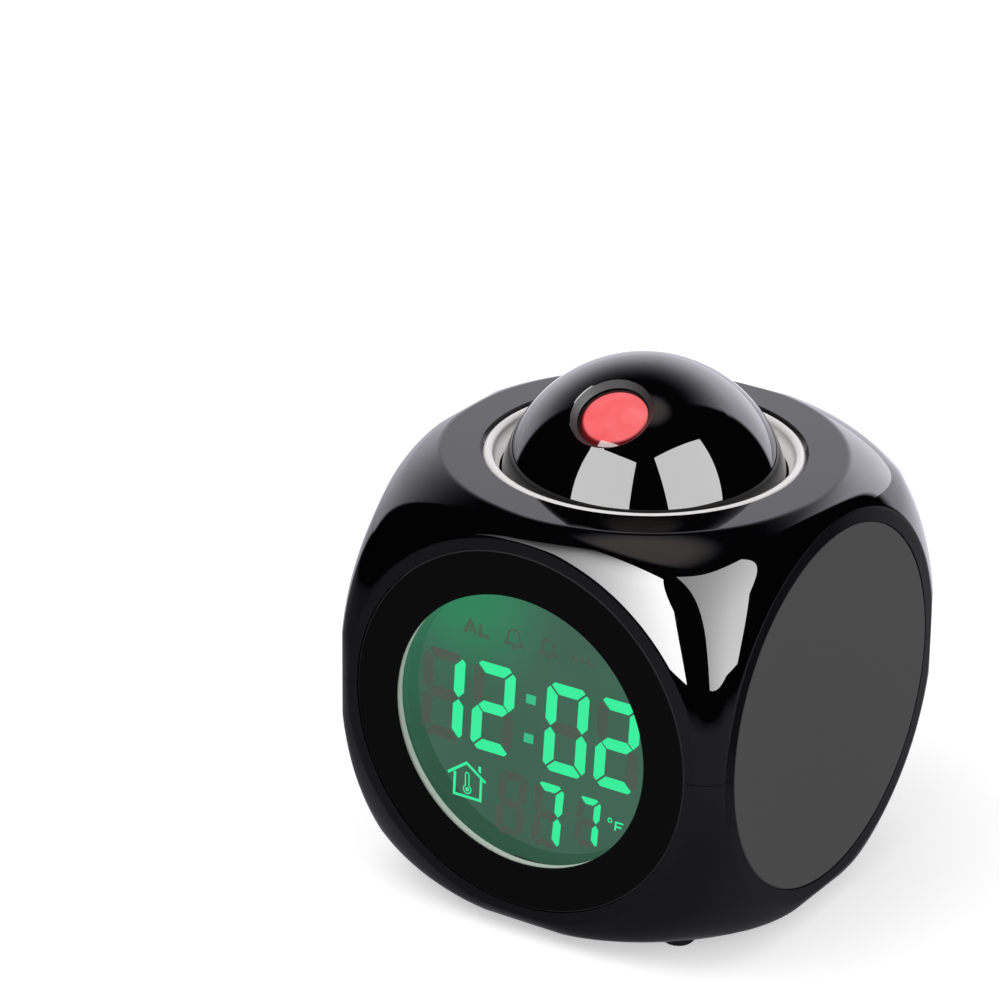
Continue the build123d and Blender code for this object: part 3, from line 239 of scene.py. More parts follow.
printed, tree = new_material("screen_printed_black")
place = add(tree, "TexCoord").outputs["Object"]
film = add(tree, "TexNoise", {"Vector": place, "Scale": per_metre(ink_mesh), "Detail": 2.0})
sheen = add(tree, "MapRange", {"Value": film, "To Min": 0.5, "To Max": 0.62})
levelled = add(tree, "Bump", {"Height": film, "Strength": 0.15, "Distance": 0.01 * mm})
centred = add(tree, "VectorMath", [place, middle], operation="SUBTRACT")
face_on = add(tree, "VectorMath", [centred, (1, 0, 1)], operation="MULTIPLY")
out = add(tree, "VectorMath", [face_on], operation="LENGTH")
painted_highlight_from = bezel_radius - rim_width
# a painted highlight: paler grey in a fine line along the ring's outer rim
painted_rim_highlight = add(
    tree,
    "MapRange",
    {"Value": out, "From Min": painted_highlight_from * mm, "From Max": (painted_highlight_from + rim_edge) * mm},
)
ink_or_painted_highlight = add(tree, "Mix", [painted_rim_highlight, linear("#080808"), linear("#3c3c3e")], data_type="RGBA")
shader = add(
    tree,
    "BsdfPrincipled",
    {
        "Base Color": ink_or_painted_highlight,
        "Roughness": sheen,
        "IOR": 1.4,
        "Specular IOR Level": 0.25,
        "Normal": levelled,
    },
)
add(tree, "OutputMaterial", [shader])
dress(printed, "front_bezel")

# ---- Display window ----
# A disc cut from clear cast acrylic, bonded under the bezel's lip. Light goes straight through it,
# apart from the few per cent that its polished faces mirror.
smear_width = 12

acrylic, tree = new_material("polished_clear_acrylic")
place = add(tree, "TexCoord").outputs["Object"]
smears = add(tree, "TexNoise", {"Vector": place, "Scale": per_metre(smear_width), "Detail": 4.0})
haze = add(
    tree,
    "MapRange",
    {"Value": smears, "From Min": 0.4, "From Max": 0.8, "To Min": 0.02, "To Max": 0.08},
)
mirrored = add(tree, "Fresnel", {"IOR": 1.49})
inside = add(tree, "NewGeometry").outputs["Backfacing"]
outer_only = add(tree, "Math", [1.0, inside], operation="SUBTRACT")
share = add(tree, "Math", [mirrored, outer_only], operation="MULTIPLY")
clear = add(tree, "BsdfTransparent", {"Color": linear("#fbfdfc")})
gloss = add(tree, "BsdfGlossy", {"Color": linear("#ffffff"), "Roughness": haze})
pane = add(tree, "MixShader", [share, clear, gloss])
add(tree, "OutputMaterial", [pane])
dress(acrylic, "display_window", "condenser_lens")

# ---- Retainer and light box ----
# Light grey ABS frames that clamp the display glass from both sides. The retainer has a faint
# painted glow that makes it paler, and the light box's wall a painted green glow, strongest near the
# lamp.
frame_grain = 0.5  # the spark-eroded tool's grain is near 0.05 mm
lamp_place = Vector((-17.4, -37.1, 65.6)) * mm  # of the green lamp in the light box's wall


def textured(name, grain, colours, detail, strength, depth, finish, distortion=0.0):
    """A surface whose grains, of this width and depth, also show darker and paler."""
    material, tree = new_material(name)
    place = add(tree, "TexCoord").outputs["Object"]
    grains = add(
        tree,
        "TexNoise",
        {
            "Vector": place,
            "Scale": per_metre(grain),
            "Detail": detail,
            "Distortion": distortion,
        },
    )
    dark, pale = colours
    shade = add(tree, "Mix", [grains, linear(dark), linear(pale)], data_type="RGBA")
    relief = add(tree, "Bump", {"Height": grains, "Strength": strength, "Distance": depth * mm})
    shader = add(tree, "BsdfPrincipled", {"Base Color": shade, "Normal": relief, **finish})
    add(tree, "OutputMaterial", [shader])
    return material


# a faint glow painted on the retainer as emission, which makes it paler
retainer_painted_glow = {"Emission Color": linear("#e2e4dc"), "Emission Strength": 0.16}
grey_abs = textured(
    "moulded_light_grey_abs", frame_grain, ("#dcddd7", "#e6e7e1"), detail=2.0, strength=0.3,
    depth=0.02, finish={"Roughness": 0.55, "IOR": 1.53, **retainer_painted_glow},
)
dress(grey_abs, "lcd_retainer")

lit_abs, tree = new_material("light_box_abs_painted_green_glow")
place = add(tree, "TexCoord").outputs["Object"]
grain = add(tree, "TexNoise", {"Vector": place, "Scale": per_metre(frame_grain), "Detail": 2.0})
# a green glow painted on the wall as emission, strongest near the lamp and gone 40 mm from it
from_lamp = add(tree, "VectorMath", [place, lamp_place], operation="DISTANCE")
wall_painted_glow = add(
    tree,
    "MapRange",
    {"Value": from_lamp, "From Min": 4 * mm, "From Max": 40 * mm, "To Min": 1.0, "To Max": 0.0},
)
glow = add(tree, "Mix", [wall_painted_glow, linear("#2b5644"), linear("#2f7a5a")], data_type="RGBA")
texture = add(tree, "Bump", {"Height": grain, "Strength": 0.3, "Distance": 0.02 * mm})
shader = add(
    tree,
    "BsdfPrincipled",
    {
        "Base Color": linear("#3d443f"),
        "Roughness": 0.55,
        "IOR": 1.53,
        "Emission Color": glow,
        "Emission Strength": 1.0,
        "Normal": texture,
    },
)
add(tree, "OutputMaterial", [shader])
dress(lit_abs, "light_box")

# ---- Liquid crystal panel ----
# Two thin glasses with polarising film on both faces and the liquid crystal between them. Where
# no segment is lit it lets the green light through, dimmed by the films.
cloud_width = 16

cell, tree = new_material("polarised_liquid_crystal_glass")
place = add(tree, "TexCoord").outputs["Object"]
cloud = add(tree, "TexNoise", {"Vector": place, "Scale": per_metre(cloud_width), "Detail": 1.0})
tint = add(tree, "Mix", [cloud, linear("#e9efe9"), linear("#f6faf6")], data_type="RGBA")
clear = add(tree, "BsdfTransparent", {"Color": tint})
film = add(tree, "BsdfDiffuse", {"Color": linear("#3c463f"), "Roughness": 0.5})
panel = add(tree, "MixShader", [0.04, clear, film])
add(tree, "OutputMaterial", [panel])
dress(cell, "lcd_panel", "picture_slide")

# ---- Segments of the display ----
# The digits are windows in the crystal, so they are flat, sharp-edged and lie in one plane behind
# the bezel. Lit ones show the lamp's green, and unlit ones show as faint brown ghosts.
display_depth = 2.56  # of the segments below the bezel's face, just in front of the glass
segment_thickness = 0.02
front_face_y = -42.5


def on_display(x, height, depth):
    """A point of the display: millimetres right of and above its middle, and into the clock."""
    return Vector((x, front_face_y + display_depth + depth, housing_height + height)) * mm


def prism(mesh, outline, to_space, thickness):
    """Adds a flat plate with this outline to a mesh."""
    near = [mesh.verts.new(to_space(x, y, 0)) for x, y in outline]
    far = [mesh.verts.new(to_space(x, y, thickness)) for x, y in outline]
    mesh.faces.new(near)
    mesh.faces.new(far[::-1])
    for n in range(len(outline)):
        mesh.faces.new((near[n - 1], far[n - 1], far[n], near[n]))


def line_normal(start, end):
    """Unit vector to the left of a line from start to end."""
    return Vector((start[1] - end[1], end[0] - start[0])).normalized()


def ribbon(mesh, points, width, to_space, thickness, closed=False):
    """Adds a flat line of even width along the points, mitred at its corners."""
    count = len(points)
    rows = []
    for n in range(count):
        before = line_normal(points[n - 1], points[n]) if n or closed else None
        after = line_normal(points[n], points[(n + 1) % count]) if n < count - 1 or closed else None
        if before is None or after is None:
            offset = (before or after) * width / 2
        else:
            mitre = (before + after).normalized()
            offset = mitre * width / 2 / max(mitre.dot(after), 0.4)
        here = Vector(points[n])
        rows.append(
            [
                mesh.verts.new(to_space(*(here + offset * hand), depth))
                for hand, depth in ((1, 0), (-1, 0), (-1, thickness), (1, thickness))
            ]
        )
    spans = range(count) if closed else range(count - 1)
    for n in spans:
        row, following = rows[n], rows[(n + 1) % count]
        for k in range(4):
            mesh.faces.new((row[k - 1], row[k], following[k], following[k - 1]))
    if not closed:
        mesh.faces.new(rows[0])
        mesh.faces.new(rows[-1][::-1])


def arc(centre, radius, start, end, steps):
    """Points on an arc, from one angle to another in degrees."""
    angles = [radians(start + (end - start) * n / steps) for n in range(steps + 1)]
    return [(centre[0] + radius * cos(a), centre[1] + radius * sin(a)) for a in angles]


def new_piece(name, mesh, material, body):
    """Makes an object of a finished mesh, which rides on a body."""
    bmesh.ops.recalc_face_normals(mesh, faces=mesh.faces)
    data = bpy.data.meshes.new(name)
    mesh.to_mesh(data)
    mesh.free()
    data.materials.append(material)
    piece = bpy.data.objects.new(name, data)
    scene.collection.objects.link(piece)
    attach(piece, body)


def seven_segments(across, level, width, tall, bar, slant):
    """Outlines of a digit's seven segments, a to g, mitred at the corners with fine gaps."""
    w, h, c, g = width / 2, tall / 2, 0.7 * bar, 0.3
    top = [(c - w, h), (w - c, h), (w - (c + g) / 2, h - (c - g) / 2)]
    top += [(w - bar - g, h - bar), (bar + g - w, h - bar), ((c + g) / 2 - w, h - (c - g) / 2)]
    side = [(w - (c - g) / 2, h - (c + g) / 2), (w, h - c), (w, bar / 2 + g)]
    side += [(w - bar / 2, g / 2), (w - bar, bar / 2 + 0.7 * g), (w - bar, h - bar - g)]
    tip, shoulder = w - bar / 2 - 0.7 * g, w - bar - 0.7 * g
    waist = [(-tip, 0), (-shoulder, bar / 2), (shoulder, bar / 2)]
    waist += [(tip, 0), (shoulder, -bar / 2), (-shoulder, -bar / 2)]
    flips = {"a": (top, 1, 1), "b": (side, 1, 1), "c": (side, 1, -1), "d": (top, 1, -1)}
    flips |= {"e": (side, -1, -1), "f": (side, -1, 1), "g": (waist, 1, 1)}
    return {
        name: [(across + x * fx + slant * y * fy, level + y * fy) for x, y in outline]
        for name, (outline, fx, fy) in flips.items()
    }


large_digits = {"level": 1.97, "width": 9.2, "tall": 18.45, "bar": 2.3, "slant": 0.053}
small_digits = {"level": -16.7, "width": 6.2, "tall": 13.4, "bar": 1.7, "slant": 0.09}
tenths_digit = {"level": -15.6, "width": 5.0, "tall": 10.4, "bar": 1.4, "slant": 0.09}
digits = [
    (-18.35, large_digits, "bc"),
    (-7.2, large_digits, "abged"),
    (8.9, large_digits, "abcdef"),
    (20.0, large_digits, "abged"),
    (-3.0, small_digits, ""),
    (5.1, small_digits, "abc"),
    (13.9, tenths_digit, "abc"),
]
lit, ghosts = bmesh.new(), bmesh.new()
for across, size, shown in digits:
    for name, outline in seven_segments(across, **size).items():
        mesh = lit if name in shown else ghosts
        prism(mesh, outline, on_display, segment_thickness)

colon = bmesh.new()
for x, height in ((1.15, 6.17), (0.73, -1.96)):
    square = [(x - 1.0, height + 0.95), (x + 1.1, height + 0.95)]
    square += [(x + 1.0, height - 0.95), (x - 1.1, height - 0.95)]
    prism(colon, square, on_display, segment_thickness)

# the house with a thermometer in it, for the temperature indoors
icon_line = 0.55
roof = [(-17.2, -14.0), (-13.0, -11.0), (-8.7, -14.0)]
walls = [(-15.6, -13.4), (-15.8, -18.1), (-9.9, -18.1), (-9.7, -13.4)]
ribbon(lit, roof, icon_line, on_display, segment_thickness)
ribbon(lit, walls, icon_line, on_display, segment_thickness)
chimney = [(-10.35, -10.95), (-9.75, -10.95), (-9.75, -12.4), (-10.35, -12.0)]
prism(lit, chimney, on_display, segment_thickness)
bulb_place, tube = (-12.85, -16.5), 0.4
thermometer = arc(bulb_place, 0.85, 118, 422, 16)
thermometer += arc((bulb_place[0], -13.4), tube, 0, 180, 6)
ribbon(lit, thermometer, 0.25, on_display, segment_thickness, closed=True)
prism(lit, arc(bulb_place, 0.45, 0, 330, 11), on_display, segment_thickness)
ribbon(lit, arc((18.8, -13.7), 0.42, 0, 330, 11), 0.25, on_display, segment_thickness, closed=True)
letter_f = [(19.9, -15.5), (20.1, -13.75), (21.7, -13.75)]
ribbon(lit, letter_f, 0.38, on_display, segment_thickness)
ribbon(lit, [(20.2, -14.65), (21.3, -14.65)], 0.38, on_display, segment_thickness)

# what the crystal could show besides: the alarm's letters, bells and marks
letter_a = [(-13.6, 16.1), (-12.3, 18.6), (-11.0, 16.1)]
ribbon(ghosts, letter_a, 0.85, on_display, segment_thickness)
ribbon(ghosts, [(-12.7, 16.8), (-11.9, 16.8)], 0.6, on_display, segment_thickness)
ribbon(ghosts, [(-10.1, 18.6), (-10.1, 16.3), (-8.2, 16.3)], 0.8, on_display, segment_thickness)
for x in (-2.75, 4.75):
    bell = [(x - 1.9, 16.3), (x - 1.3, 17.0), *arc((x, 18.1), 1.25, 180, 0, 8)]
    bell += [(x + 1.3, 17.0), (x + 1.9, 16.3)]
    ribbon(ghosts, bell, 0.45, on_display, segment_thickness, closed=True)
    prism(ghosts, arc((x, 15.75), 0.4, 0, 330, 11), on_display, segment_thickness)
for x in (10.1, 11.9, 13.5):
    ribbon(ghosts, [(x, 18.2), (x, 16.9), (x + 1.0, 16.9)], 0.4, on_display, segment_thickness)
bar = [(-20.9, 10.9), (-15.9, 10.9), (-15.9, 9.85), (-20.9, 9.85)]
prism(ghosts, bar, on_display, segment_thickness)


def open_crystal(name, patch, dark, pale):
    """A lit segment: crystal that passes the lamp's green, unevenly by patches of this size."""
    material, tree = new_material(name)
    place = add(tree, "TexCoord").outputs["Object"]
    unevenness = add(tree, "TexNoise", {"Vector": place, "Scale": per_metre(patch), "Detail": 2.0})
    green = add(tree, "Mix", [unevenness, linear(dark), linear(pale)], data_type="RGBA")
    shader = add(
        tree,
        "BsdfPrincipled",
        {
            "Base Color": linear("#0b3d27"),
            "Roughness": 0.5,
            "Emission Color": green,
            "Emission Strength": 1.0,
        },
    )
    add(tree, "OutputMaterial", [shader])
    return material


lit_crystal = open_crystal("lit_crystal_segment", patch=7, dark="#2aee97", pale="#3bf9aa")
new_piece("lit_segments", lit, lit_crystal, "housing")
dim_crystal = open_crystal("dimmed_crystal_segment", patch=3, dark="#2bb57f", pale="#37c890")
new_piece("colon_marks", colon, dim_crystal, "housing")

ghost_patch = 9
ghost_crystal, tree = new_material("unlit_crystal_segment")
place = add(tree, "TexCoord").outputs["Object"]
unevenness = add(tree, "TexNoise", {"Vector": place, "Scale": per_metre(ghost_patch), "Detail": 2.0})
brown = add(tree, "Mix", [unevenness, linear("#5d5a4f"), linear("#4a5549")], data_type="RGBA")
through = add(tree, "BsdfTransparent", {"Color": linear("#ffffff")})
faint = add(tree, "Emission", {"Color": brown, "Strength": 1.0})
seen = add(tree, "MixShader", [0.45, through, faint])
add(tree, "OutputMaterial", [seen])
new_piece("unlit_segments", ghosts, ghost_crystal, "housing")

# ---- Diffuser and green lamp ----
# A disc of frosted polycarbonate that spreads the light of one lamp in the light box's upper left
# wall, so that it glows greener there and greyer away from it.
frost_patch = 18

diffuser, tree = new_material("frosted_polycarbonate_lit_green")
place = add(tree, "TexCoord").outputs["Object"]
from_lamp = add(tree, "VectorMath", [place, lamp_place], operation="DISTANCE")
near_lamp = add(
    tree,
    "MapRange",
    {"Value": from_lamp, "From Min": 3 * mm, "From Max": 24 * mm, "To Min": 1.0, "To Max": 0.0},
    interpolation_type="SMOOTHSTEP",
)
frosting = add(tree, "TexNoise", {"Vector": place, "Scale": per_metre(frost_patch), "Detail": 2.0})
far_glow = add(tree, "Mix", [frosting, linear("#486a5d"), linear("#4b7162")], data_type="RGBA")
glow = add(tree, "Mix", [near_lamp, far_glow, linear("#34936a")], data_type="RGBA")
shader = add(
    tree,
    "BsdfPrincipled",
    {
        "Base Color": linear("#1c2a24"),
        "Roughness": 0.8,
        "IOR": 1.58,
        "Emission Color": glow,
        "Emission Strength": 1.0,
    },
)
add(tree, "OutputMaterial", [shader])
dress(diffuser, "backlight_diffuser")


def lit_epoxy(name, core, rim, body, roughness):
    """A lamp's clear epoxy: its core glows palest, and its rim shows the colour."""
    material, tree = new_material(name)
    edge = add(tree, "LayerWeight", {"Blend": 0.4}).outputs["Facing"]
    glow = add(tree, "Mix", [edge, linear(core), linear(rim)], data_type="RGBA")
    shader = add(
        tree,
        "BsdfPrincipled",
        {
            "Base Color": linear(body),
            "Roughness": roughness,
            "IOR": 1.5,
            "Emission Color": glow,
            "Emission Strength": 1.5,
        },
    )
    add(tree, "OutputMaterial", [shader])
    return material


green_lamp = lit_epoxy("green_lamp_epoxy", "#9dffd5", "#1fd486", "#d8f5e6", 0.25)
dress(green_lamp, "backlight_led")

# ---- Contact strip ----
# A bar of silicone rubber with layers of carbon-filled rubber across it, which join the glass's
# contacts to the board's. The layers show as fine stripes.
layer_pitch = 0.5  # 0.18 mm on the real strip

zebra, tree = new_material("layered_silicone_rubber")
place = add(tree, "TexCoord").outputs["Object"]
layers = add(
    tree,
    "TexWave",
    {"Vector": place, "Scale": per_metre(layer_pitch) / 20 * pi, "Distortion": 0.2},
    wave_type="BANDS",
    bands_direction="X",
)
colour = add(
    tree, "Mix", [layers.outputs["Fac"], linear("#101010"), linear("#6d6a66")], data_type="RGBA"
)
shader = add(tree, "BsdfPrincipled", {"Base Color": colour, "Roughness": 0.7, "IOR": 1.41})
add(tree, "OutputMaterial", [shader])
dress(zebra, "contact_strip")

# ---- Circuit boards ----
# Glass-fibre laminate under green solder resist. Copper tracks raise the resist a little and show
# lighter through it.
track_pitch = 1.6  # 0.5 mm on the real boards

board, tree = new_material("green_solder_resist")
place = add(tree, "TexCoord").outputs["Object"]
tracks = add(
    tree,
    "TexBrick",
    {
        "Vector": place,
        "Color1": linear("#0b4a22"),
        "Color2": linear("#0d5528"),
        "Mortar": linear("#2c8a4a"),
        "Scale": per_metre(track_pitch) / 4,
        "Mortar Size": 0.02,
        "Brick Width": 0.9,
        "Row Height": 0.28,
    },
    offset=0.35,
)
raised = add(
    tree, "Bump", {"Height": tracks.outputs["Fac"], "Strength": 0.4, "Distance": 0.035 * mm}
)
shader = add(
    tree, "BsdfPrincipled", {"Base Color": tracks, "Roughness": 0.35, "IOR": 1.55, "Normal": raised}
)
add(tree, "OutputMaterial", [shader])
dress(board, "main_board", "key_board", "snooze_board", "ball_board")

# ---- Chips, switches, spring deck and jack body ----
# Black glass-filled nylon and epoxy moulding compound: dull, with pale specks where the filler
# comes to the surface.
filler_speck = 0.6  # about 0.05 mm on the real parts

compound, tree = new_material("black_filled_moulding_compound")
place = add(tree, "TexCoord").outputs["Object"]
specks = add(tree, "TexVoronoi", {"Vector": place, "Scale": per_metre(filler_speck)})
fleck = add(
    tree,
    "MapRange",
    {"Value": specks, "From Min": 0.0, "From Max": 0.25, "To Min": 1.0, "To Max": 0.0},
)
colour = add(tree, "Mix", [fleck, linear("#161617"), linear("#2c2c2d")], data_type="RGBA")
shader = add(tree, "BsdfPrincipled", {"Base Color": colour, "Roughness": 0.6, "IOR": 1.52})
add(tree, "OutputMaterial", [shader])
dress(compound, "board_chips", "key_switches", "snooze_switch", "spring_deck")
dress(compound, "dc_jack", "lens_barrel")

# ---- Screws and speaker frame ----
# Mild steel, pressed or rolled, and plated with bright zinc, which is a cool grey with a faint
# cloudy grain.
plating_cloud = 1.2

zinc, tree = new_material("zinc_plated_steel")
place = add(tree, "TexCoord").outputs["Object"]
cloud = add(tree, "TexNoise", {"Vector": place, "Scale": per_metre(plating_cloud), "Detail": 4.0})
colour = add(tree, "Mix", [cloud, linear("#b9bcc0"), linear("#d4d6d6")], data_type="RGBA")
worn = add(tree, "MapRange", {"Value": cloud, "To Min": 0.22, "To Max": 0.42})
shader = add(tree, "BsdfPrincipled", {"Base Color": colour, "Metallic": 1.0, "Roughness": worn})
add(tree, "OutputMaterial", [shader])
dress(zinc, "board_screws", "housing_screws", "deck_screws", "barrel_screws")
dress(zinc, "trunnion_pins", "speaker_frame")

# ---- Side covers and rear panel ----
# Flat discs of dark grey ABS from a fine-textured tool, which leaves an even satin face. Pegs
# behind the side covers are pressed into the housing.
tool_texture = 0.5  # spark erosion of about 0.04 mm

satin_abs = textured(
    "textured_dark_grey_abs", tool_texture, ("#525252", "#585858"), detail=3.0, strength=0.25,
    depth=0.015, finish={"Roughness": 0.6, "IOR": 1.4},
)
dress(satin_abs, "left_cover", "right_cover", "rear_panel")

# ---- Trim ring ----
# Off-white ABS, moulded in a fine-polished tool. Its lip has a soft gloss, and a glow is painted on
# the wall below it as emission, so that the wall looks nearly as pale as the lip.
ring_flow = 6.0
glow_height, glow_depth = 84.3, 2.1  # where the wall's glow starts, and how far down it grows

white_abs, tree = new_material("moulded_off_white_abs")
place = add(tree, "TexCoord").outputs["Object"]
flow = add(tree, "TexNoise", {"Vector": place, "Scale": per_metre(ring_flow), "Detail": 2.0})
shade = add(tree, "Mix", [flow, linear("#efecea"), linear("#f7f5f4")], data_type="RGBA")
height = add(tree, "SeparateXYZ", [place])
# a painted glow: emission on the wall below the lip, fading in over 2.1 mm towards the lip
ring_wall_painted_glow = add(
    tree,
    "MapRange",
    {
        "Value": height.outputs["Z"],
        "From Min": (glow_height - glow_depth) * mm,
        "From Max": glow_height * mm,
        "To Min": 0.38,
        "To Max": 0.0,
    },
    interpolation_type="SMOOTHSTEP",
)
shader = add(
    tree,
    "BsdfPrincipled",
    {
        "Base Color": shade,
        "Roughness": 0.32,
        "IOR": 1.53,
        "Emission Color": linear("#f5f2f2"),
        "Emission Strength": ring_wall_painted_glow,
    },
)
add(tree, "OutputMaterial", [shader])
dress(white_abs, "trim_ring")

# ---- Press collar and swivel cup ----
# Acetal sleeves that run against each other: black, waxy and slightly rubbed where they slide. The
# collar goes down for snooze, and the cup turns in it and carries the ball's pins.
cup_rub = 0.9

acetal, tree = new_material("moulded_black_acetal")
place = add(tree, "TexCoord").outputs["Object"]
rub = add(tree, "TexNoise", {"Vector": place, "Scale": per_metre(cup_rub), "Detail": 3.0})
waxy = add(tree, "MapRange", {"Value": rub, "To Min": 0.35, "To Max": 0.55})
shader = add(
    tree, "BsdfPrincipled", {"Base Color": linear("#0c0c0d"), "Roughness": waxy, "IOR": 1.48}
)
add(tree, "OutputMaterial", [shader])
dress(acetal, "press_collar", "swivel_cup")

# ---- Projector ball ----
# Two half shells of the housing's ABS, polished as highly. They meet at the trunnion pins, below
# the ring, so the dome that shows has no seam. The seat sunk round the lens is spark-eroded matt.
ball_centre = Vector((0, 0, 75.3)) * mm
ball_radius = 27.5

polished_abs = polished("polished_black_abs", False)
tree = polished_abs.node_tree
shader = tree.nodes["Principled BSDF"]
dome = shader.inputs["Roughness"].links[0].from_socket
place = add(tree, "TexCoord").outputs["Object"]
from_centre = add(tree, "VectorMath", [place, ball_centre], operation="DISTANCE")
in_seat = add(
    tree,
    "MapRange",
    {
        "Value": from_centre,
        "From Min": (ball_radius - 0.25) * mm,
        "From Max": (ball_radius - 0.1) * mm,
        "To Min": 0.6,
        "To Max": 0.0,
    },
)
coarser = add(tree, "Math", [dome, in_seat], operation="MAXIMUM")
tree.links.new(coarser.outputs["Value"], shader.inputs["Roughness"])
dress(polished_abs, "ball_upper_shell", "ball_lower_shell")

# ---- Projector lens ----
# A turned and polished acrylic lens with a domed front, lit from behind by the red lamp. The light
# is uneven, paler where the lamp's core shows, and the barrel shades the lens's lower rim.
lens_elevation, lens_bearing = radians(57.8), radians(4.9)
lens_axis = Vector(
    (
        sin(lens_bearing) * cos(lens_elevation),
        -cos(lens_bearing) * cos(lens_elevation),
        sin(lens_elevation),
    )
)
lens_radius, streak_width = 6.5, 4.5
lens_up = lens_axis.cross(Vector((0, 0, 1)).cross(lens_axis)).normalized()
lamp_spot = ball_centre + (lens_axis * 23.4 + lens_up * 0.8) * mm

lens_material, tree = new_material("polished_acrylic_lit_red")
place = add(tree, "TexCoord").outputs["Object"]
lens_space = add(tree, "VectorMath", [place, lamp_spot], operation="DISTANCE")
rim = add(
    tree,
    "MapRange",
    {
        "Value": lens_space,
        "From Min": 0.9 * lens_radius * mm,
        "From Max": 1.0 * lens_radius * mm,
        "To Min": 0.0,
        "To Max": 1.0,
    },
    interpolation_type="SMOOTHSTEP",
)
streaks = add(tree, "TexNoise", {"Vector": place, "Scale": per_metre(streak_width), "Detail": 2.0})
core = add(tree, "Mix", [streaks, linear("#f4565c"), linear("#ff8588")], data_type="RGBA")
red = add(tree, "Mix", [rim, core, linear("#2a0608")], data_type="RGBA")
shader = add(
    tree,
    "BsdfPrincipled",
    {
        "Base Color": linear("#5a0c10"),
        "Roughness": 0.06,
        "IOR": 1.49,
        "Emission Color": red,
        "Emission Strength": 0.9,
    },
)
add(tree, "OutputMaterial", [shader])
dress(lens_material, "projector_lens")

# ---- Red lamp ----
# A lamp in a dome of clear red epoxy under the condenser, brightest along its axis. It stands on
# the ball's board.
red_lamp = lit_epoxy("red_lamp_epoxy", "#ffb0a8", "#e01420", "#b01018", 0.12)
dress(red_lamp, "projector_led")

# ---- Springs ----
# Drawn music wire, bright from the die, with fine lines along the wire. Three coils push the
# collar up, and others press on the battery cells.
die_line = 0.7  # under 0.1 mm on the real wire


def worked_metal(name, colour, mark, detail, roughness):
    """Bright metal with fine marks of its making, which vary its gloss between two values."""
    material, tree = new_material(name)
    place = add(tree, "TexCoord").outputs["Object"]
    marks = add(tree, "TexNoise", {"Vector": place, "Scale": per_metre(mark), "Detail": detail})
    worn = add(tree, "MapRange", {"Value": marks, "To Min": roughness[0], "To Max": roughness[1]})
    shader = add(
        tree, "BsdfPrincipled", {"Base Color": linear(colour), "Metallic": 1.0, "Roughness": worn}
    )
    add(tree, "OutputMaterial", [shader])
    return material


spring_steel = worked_metal("drawn_spring_wire", "#a9a9ab", die_line, 3.0, (0.2, 0.38))
dress(spring_steel, "return_springs", "battery_springs")

# ---- Keys ----
# Round caps of polished black ABS in the rear panel, with their marks printed in white: up, down,
# mode and set.
dress(polished_abs, "key_up", "key_down", "key_mode", "key_set")

key_height, key_face_y = 3.0, 42.3
mark_width, mark_thickness = 0.42, 0.03


def key_plane(key_x, y):
    """Puts a mark's millimetres, seen from behind the clock, on a plane across +Y."""
    level = housing_height + key_height
    return lambda x, height, depth: Vector((key_x - x, y + depth, level + height)) * mm


white_ink, tree = new_material("screen_printed_white")
place = add(tree, "TexCoord").outputs["Object"]
film = add(tree, "TexNoise", {"Vector": place, "Scale": per_metre(ink_mesh), "Detail": 2.0})
shade = add(tree, "Mix", [film, linear("#c9c9c7"), linear("#dededc")], data_type="RGBA")
shader = add(tree, "BsdfPrincipled", {"Base Color": shade, "Roughness": 0.5, "IOR": 1.4})
add(tree, "OutputMaterial", [shader])

key_marks = {
    "key_up": (19.5, [(0, 1.2), (1.3, -0.9), (-1.3, -0.9)], True),
    "key_down": (6.5, [(0, -1.2), (1.3, 0.9), (-1.3, 0.9)], True),
    "key_mode": (-6.5, arc((0, 0), 1.2, 0, 330, 11), True),
    "key_set": (-19.5, [(-1.2, 0.1), (-0.4, -0.8), (1.3, 1.0)], False),
}
for key, (key_x, outline, closed) in key_marks.items():
    mesh = bmesh.new()
    plane = key_plane(key_x, key_face_y - mark_thickness / 2)
    ribbon(mesh, outline, mark_width, plane, mark_thickness, closed)
    new_piece(key + "_mark", mesh, white_ink, key)

# ---- Speaker ----
# A pressed paper cone behind the grille, with the fibres of the pulp in its skin, and a ring
# magnet of sintered ferrite.
fibre = 0.6  # the real fibres are near 0.03 mm thick
pore = 0.8  # and the magnet's pores near 0.05 mm

paper = textured(
    "pressed_black_paper", fibre, ("#151412", "#2e2c29"), detail=4.0, strength=0.6,
    depth=0.05, finish={"Roughness": 0.9}, distortion=1.5,
)
dress(paper, "speaker_cone")

ferrite, tree = new_material("sintered_ferrite")
place = add(tree, "TexCoord").outputs["Object"]
pores = add(tree, "TexNoise", {"Vector": place, "Scale": per_metre(pore), "Detail": 4.0})
shade = add(tree, "Mix", [pores, linear("#2c2b2d"), linear("#3c3b3d")], data_type="RGBA")
shader = add(tree, "BsdfPrincipled", {"Base Color": shade, "Roughness": 0.55, "IOR": 1.6})
add(tree, "OutputMaterial", [shader])
dress(ferrite, "speaker_magnet")

# ---- Battery contacts and jack pin ----
# Brass strip and rod with bright nickel over it, which gives a warm, lightly brushed mirror. The
# rod is the centre pin of the jack.
brush_line = 0.9  # under 0.1 mm on the real strip

nickel = worked_metal("nickel_plated_brass", "#cfc9b8", brush_line, 4.0, (0.15, 0.35))
dress(nickel, "battery_contacts", "dc_jack_pin")

# ---- Battery cells ----
# Three plain cells in a printed silver foil jacket that is shrunk on. Every second one lies the
# other way round.
crinkle = 2.5

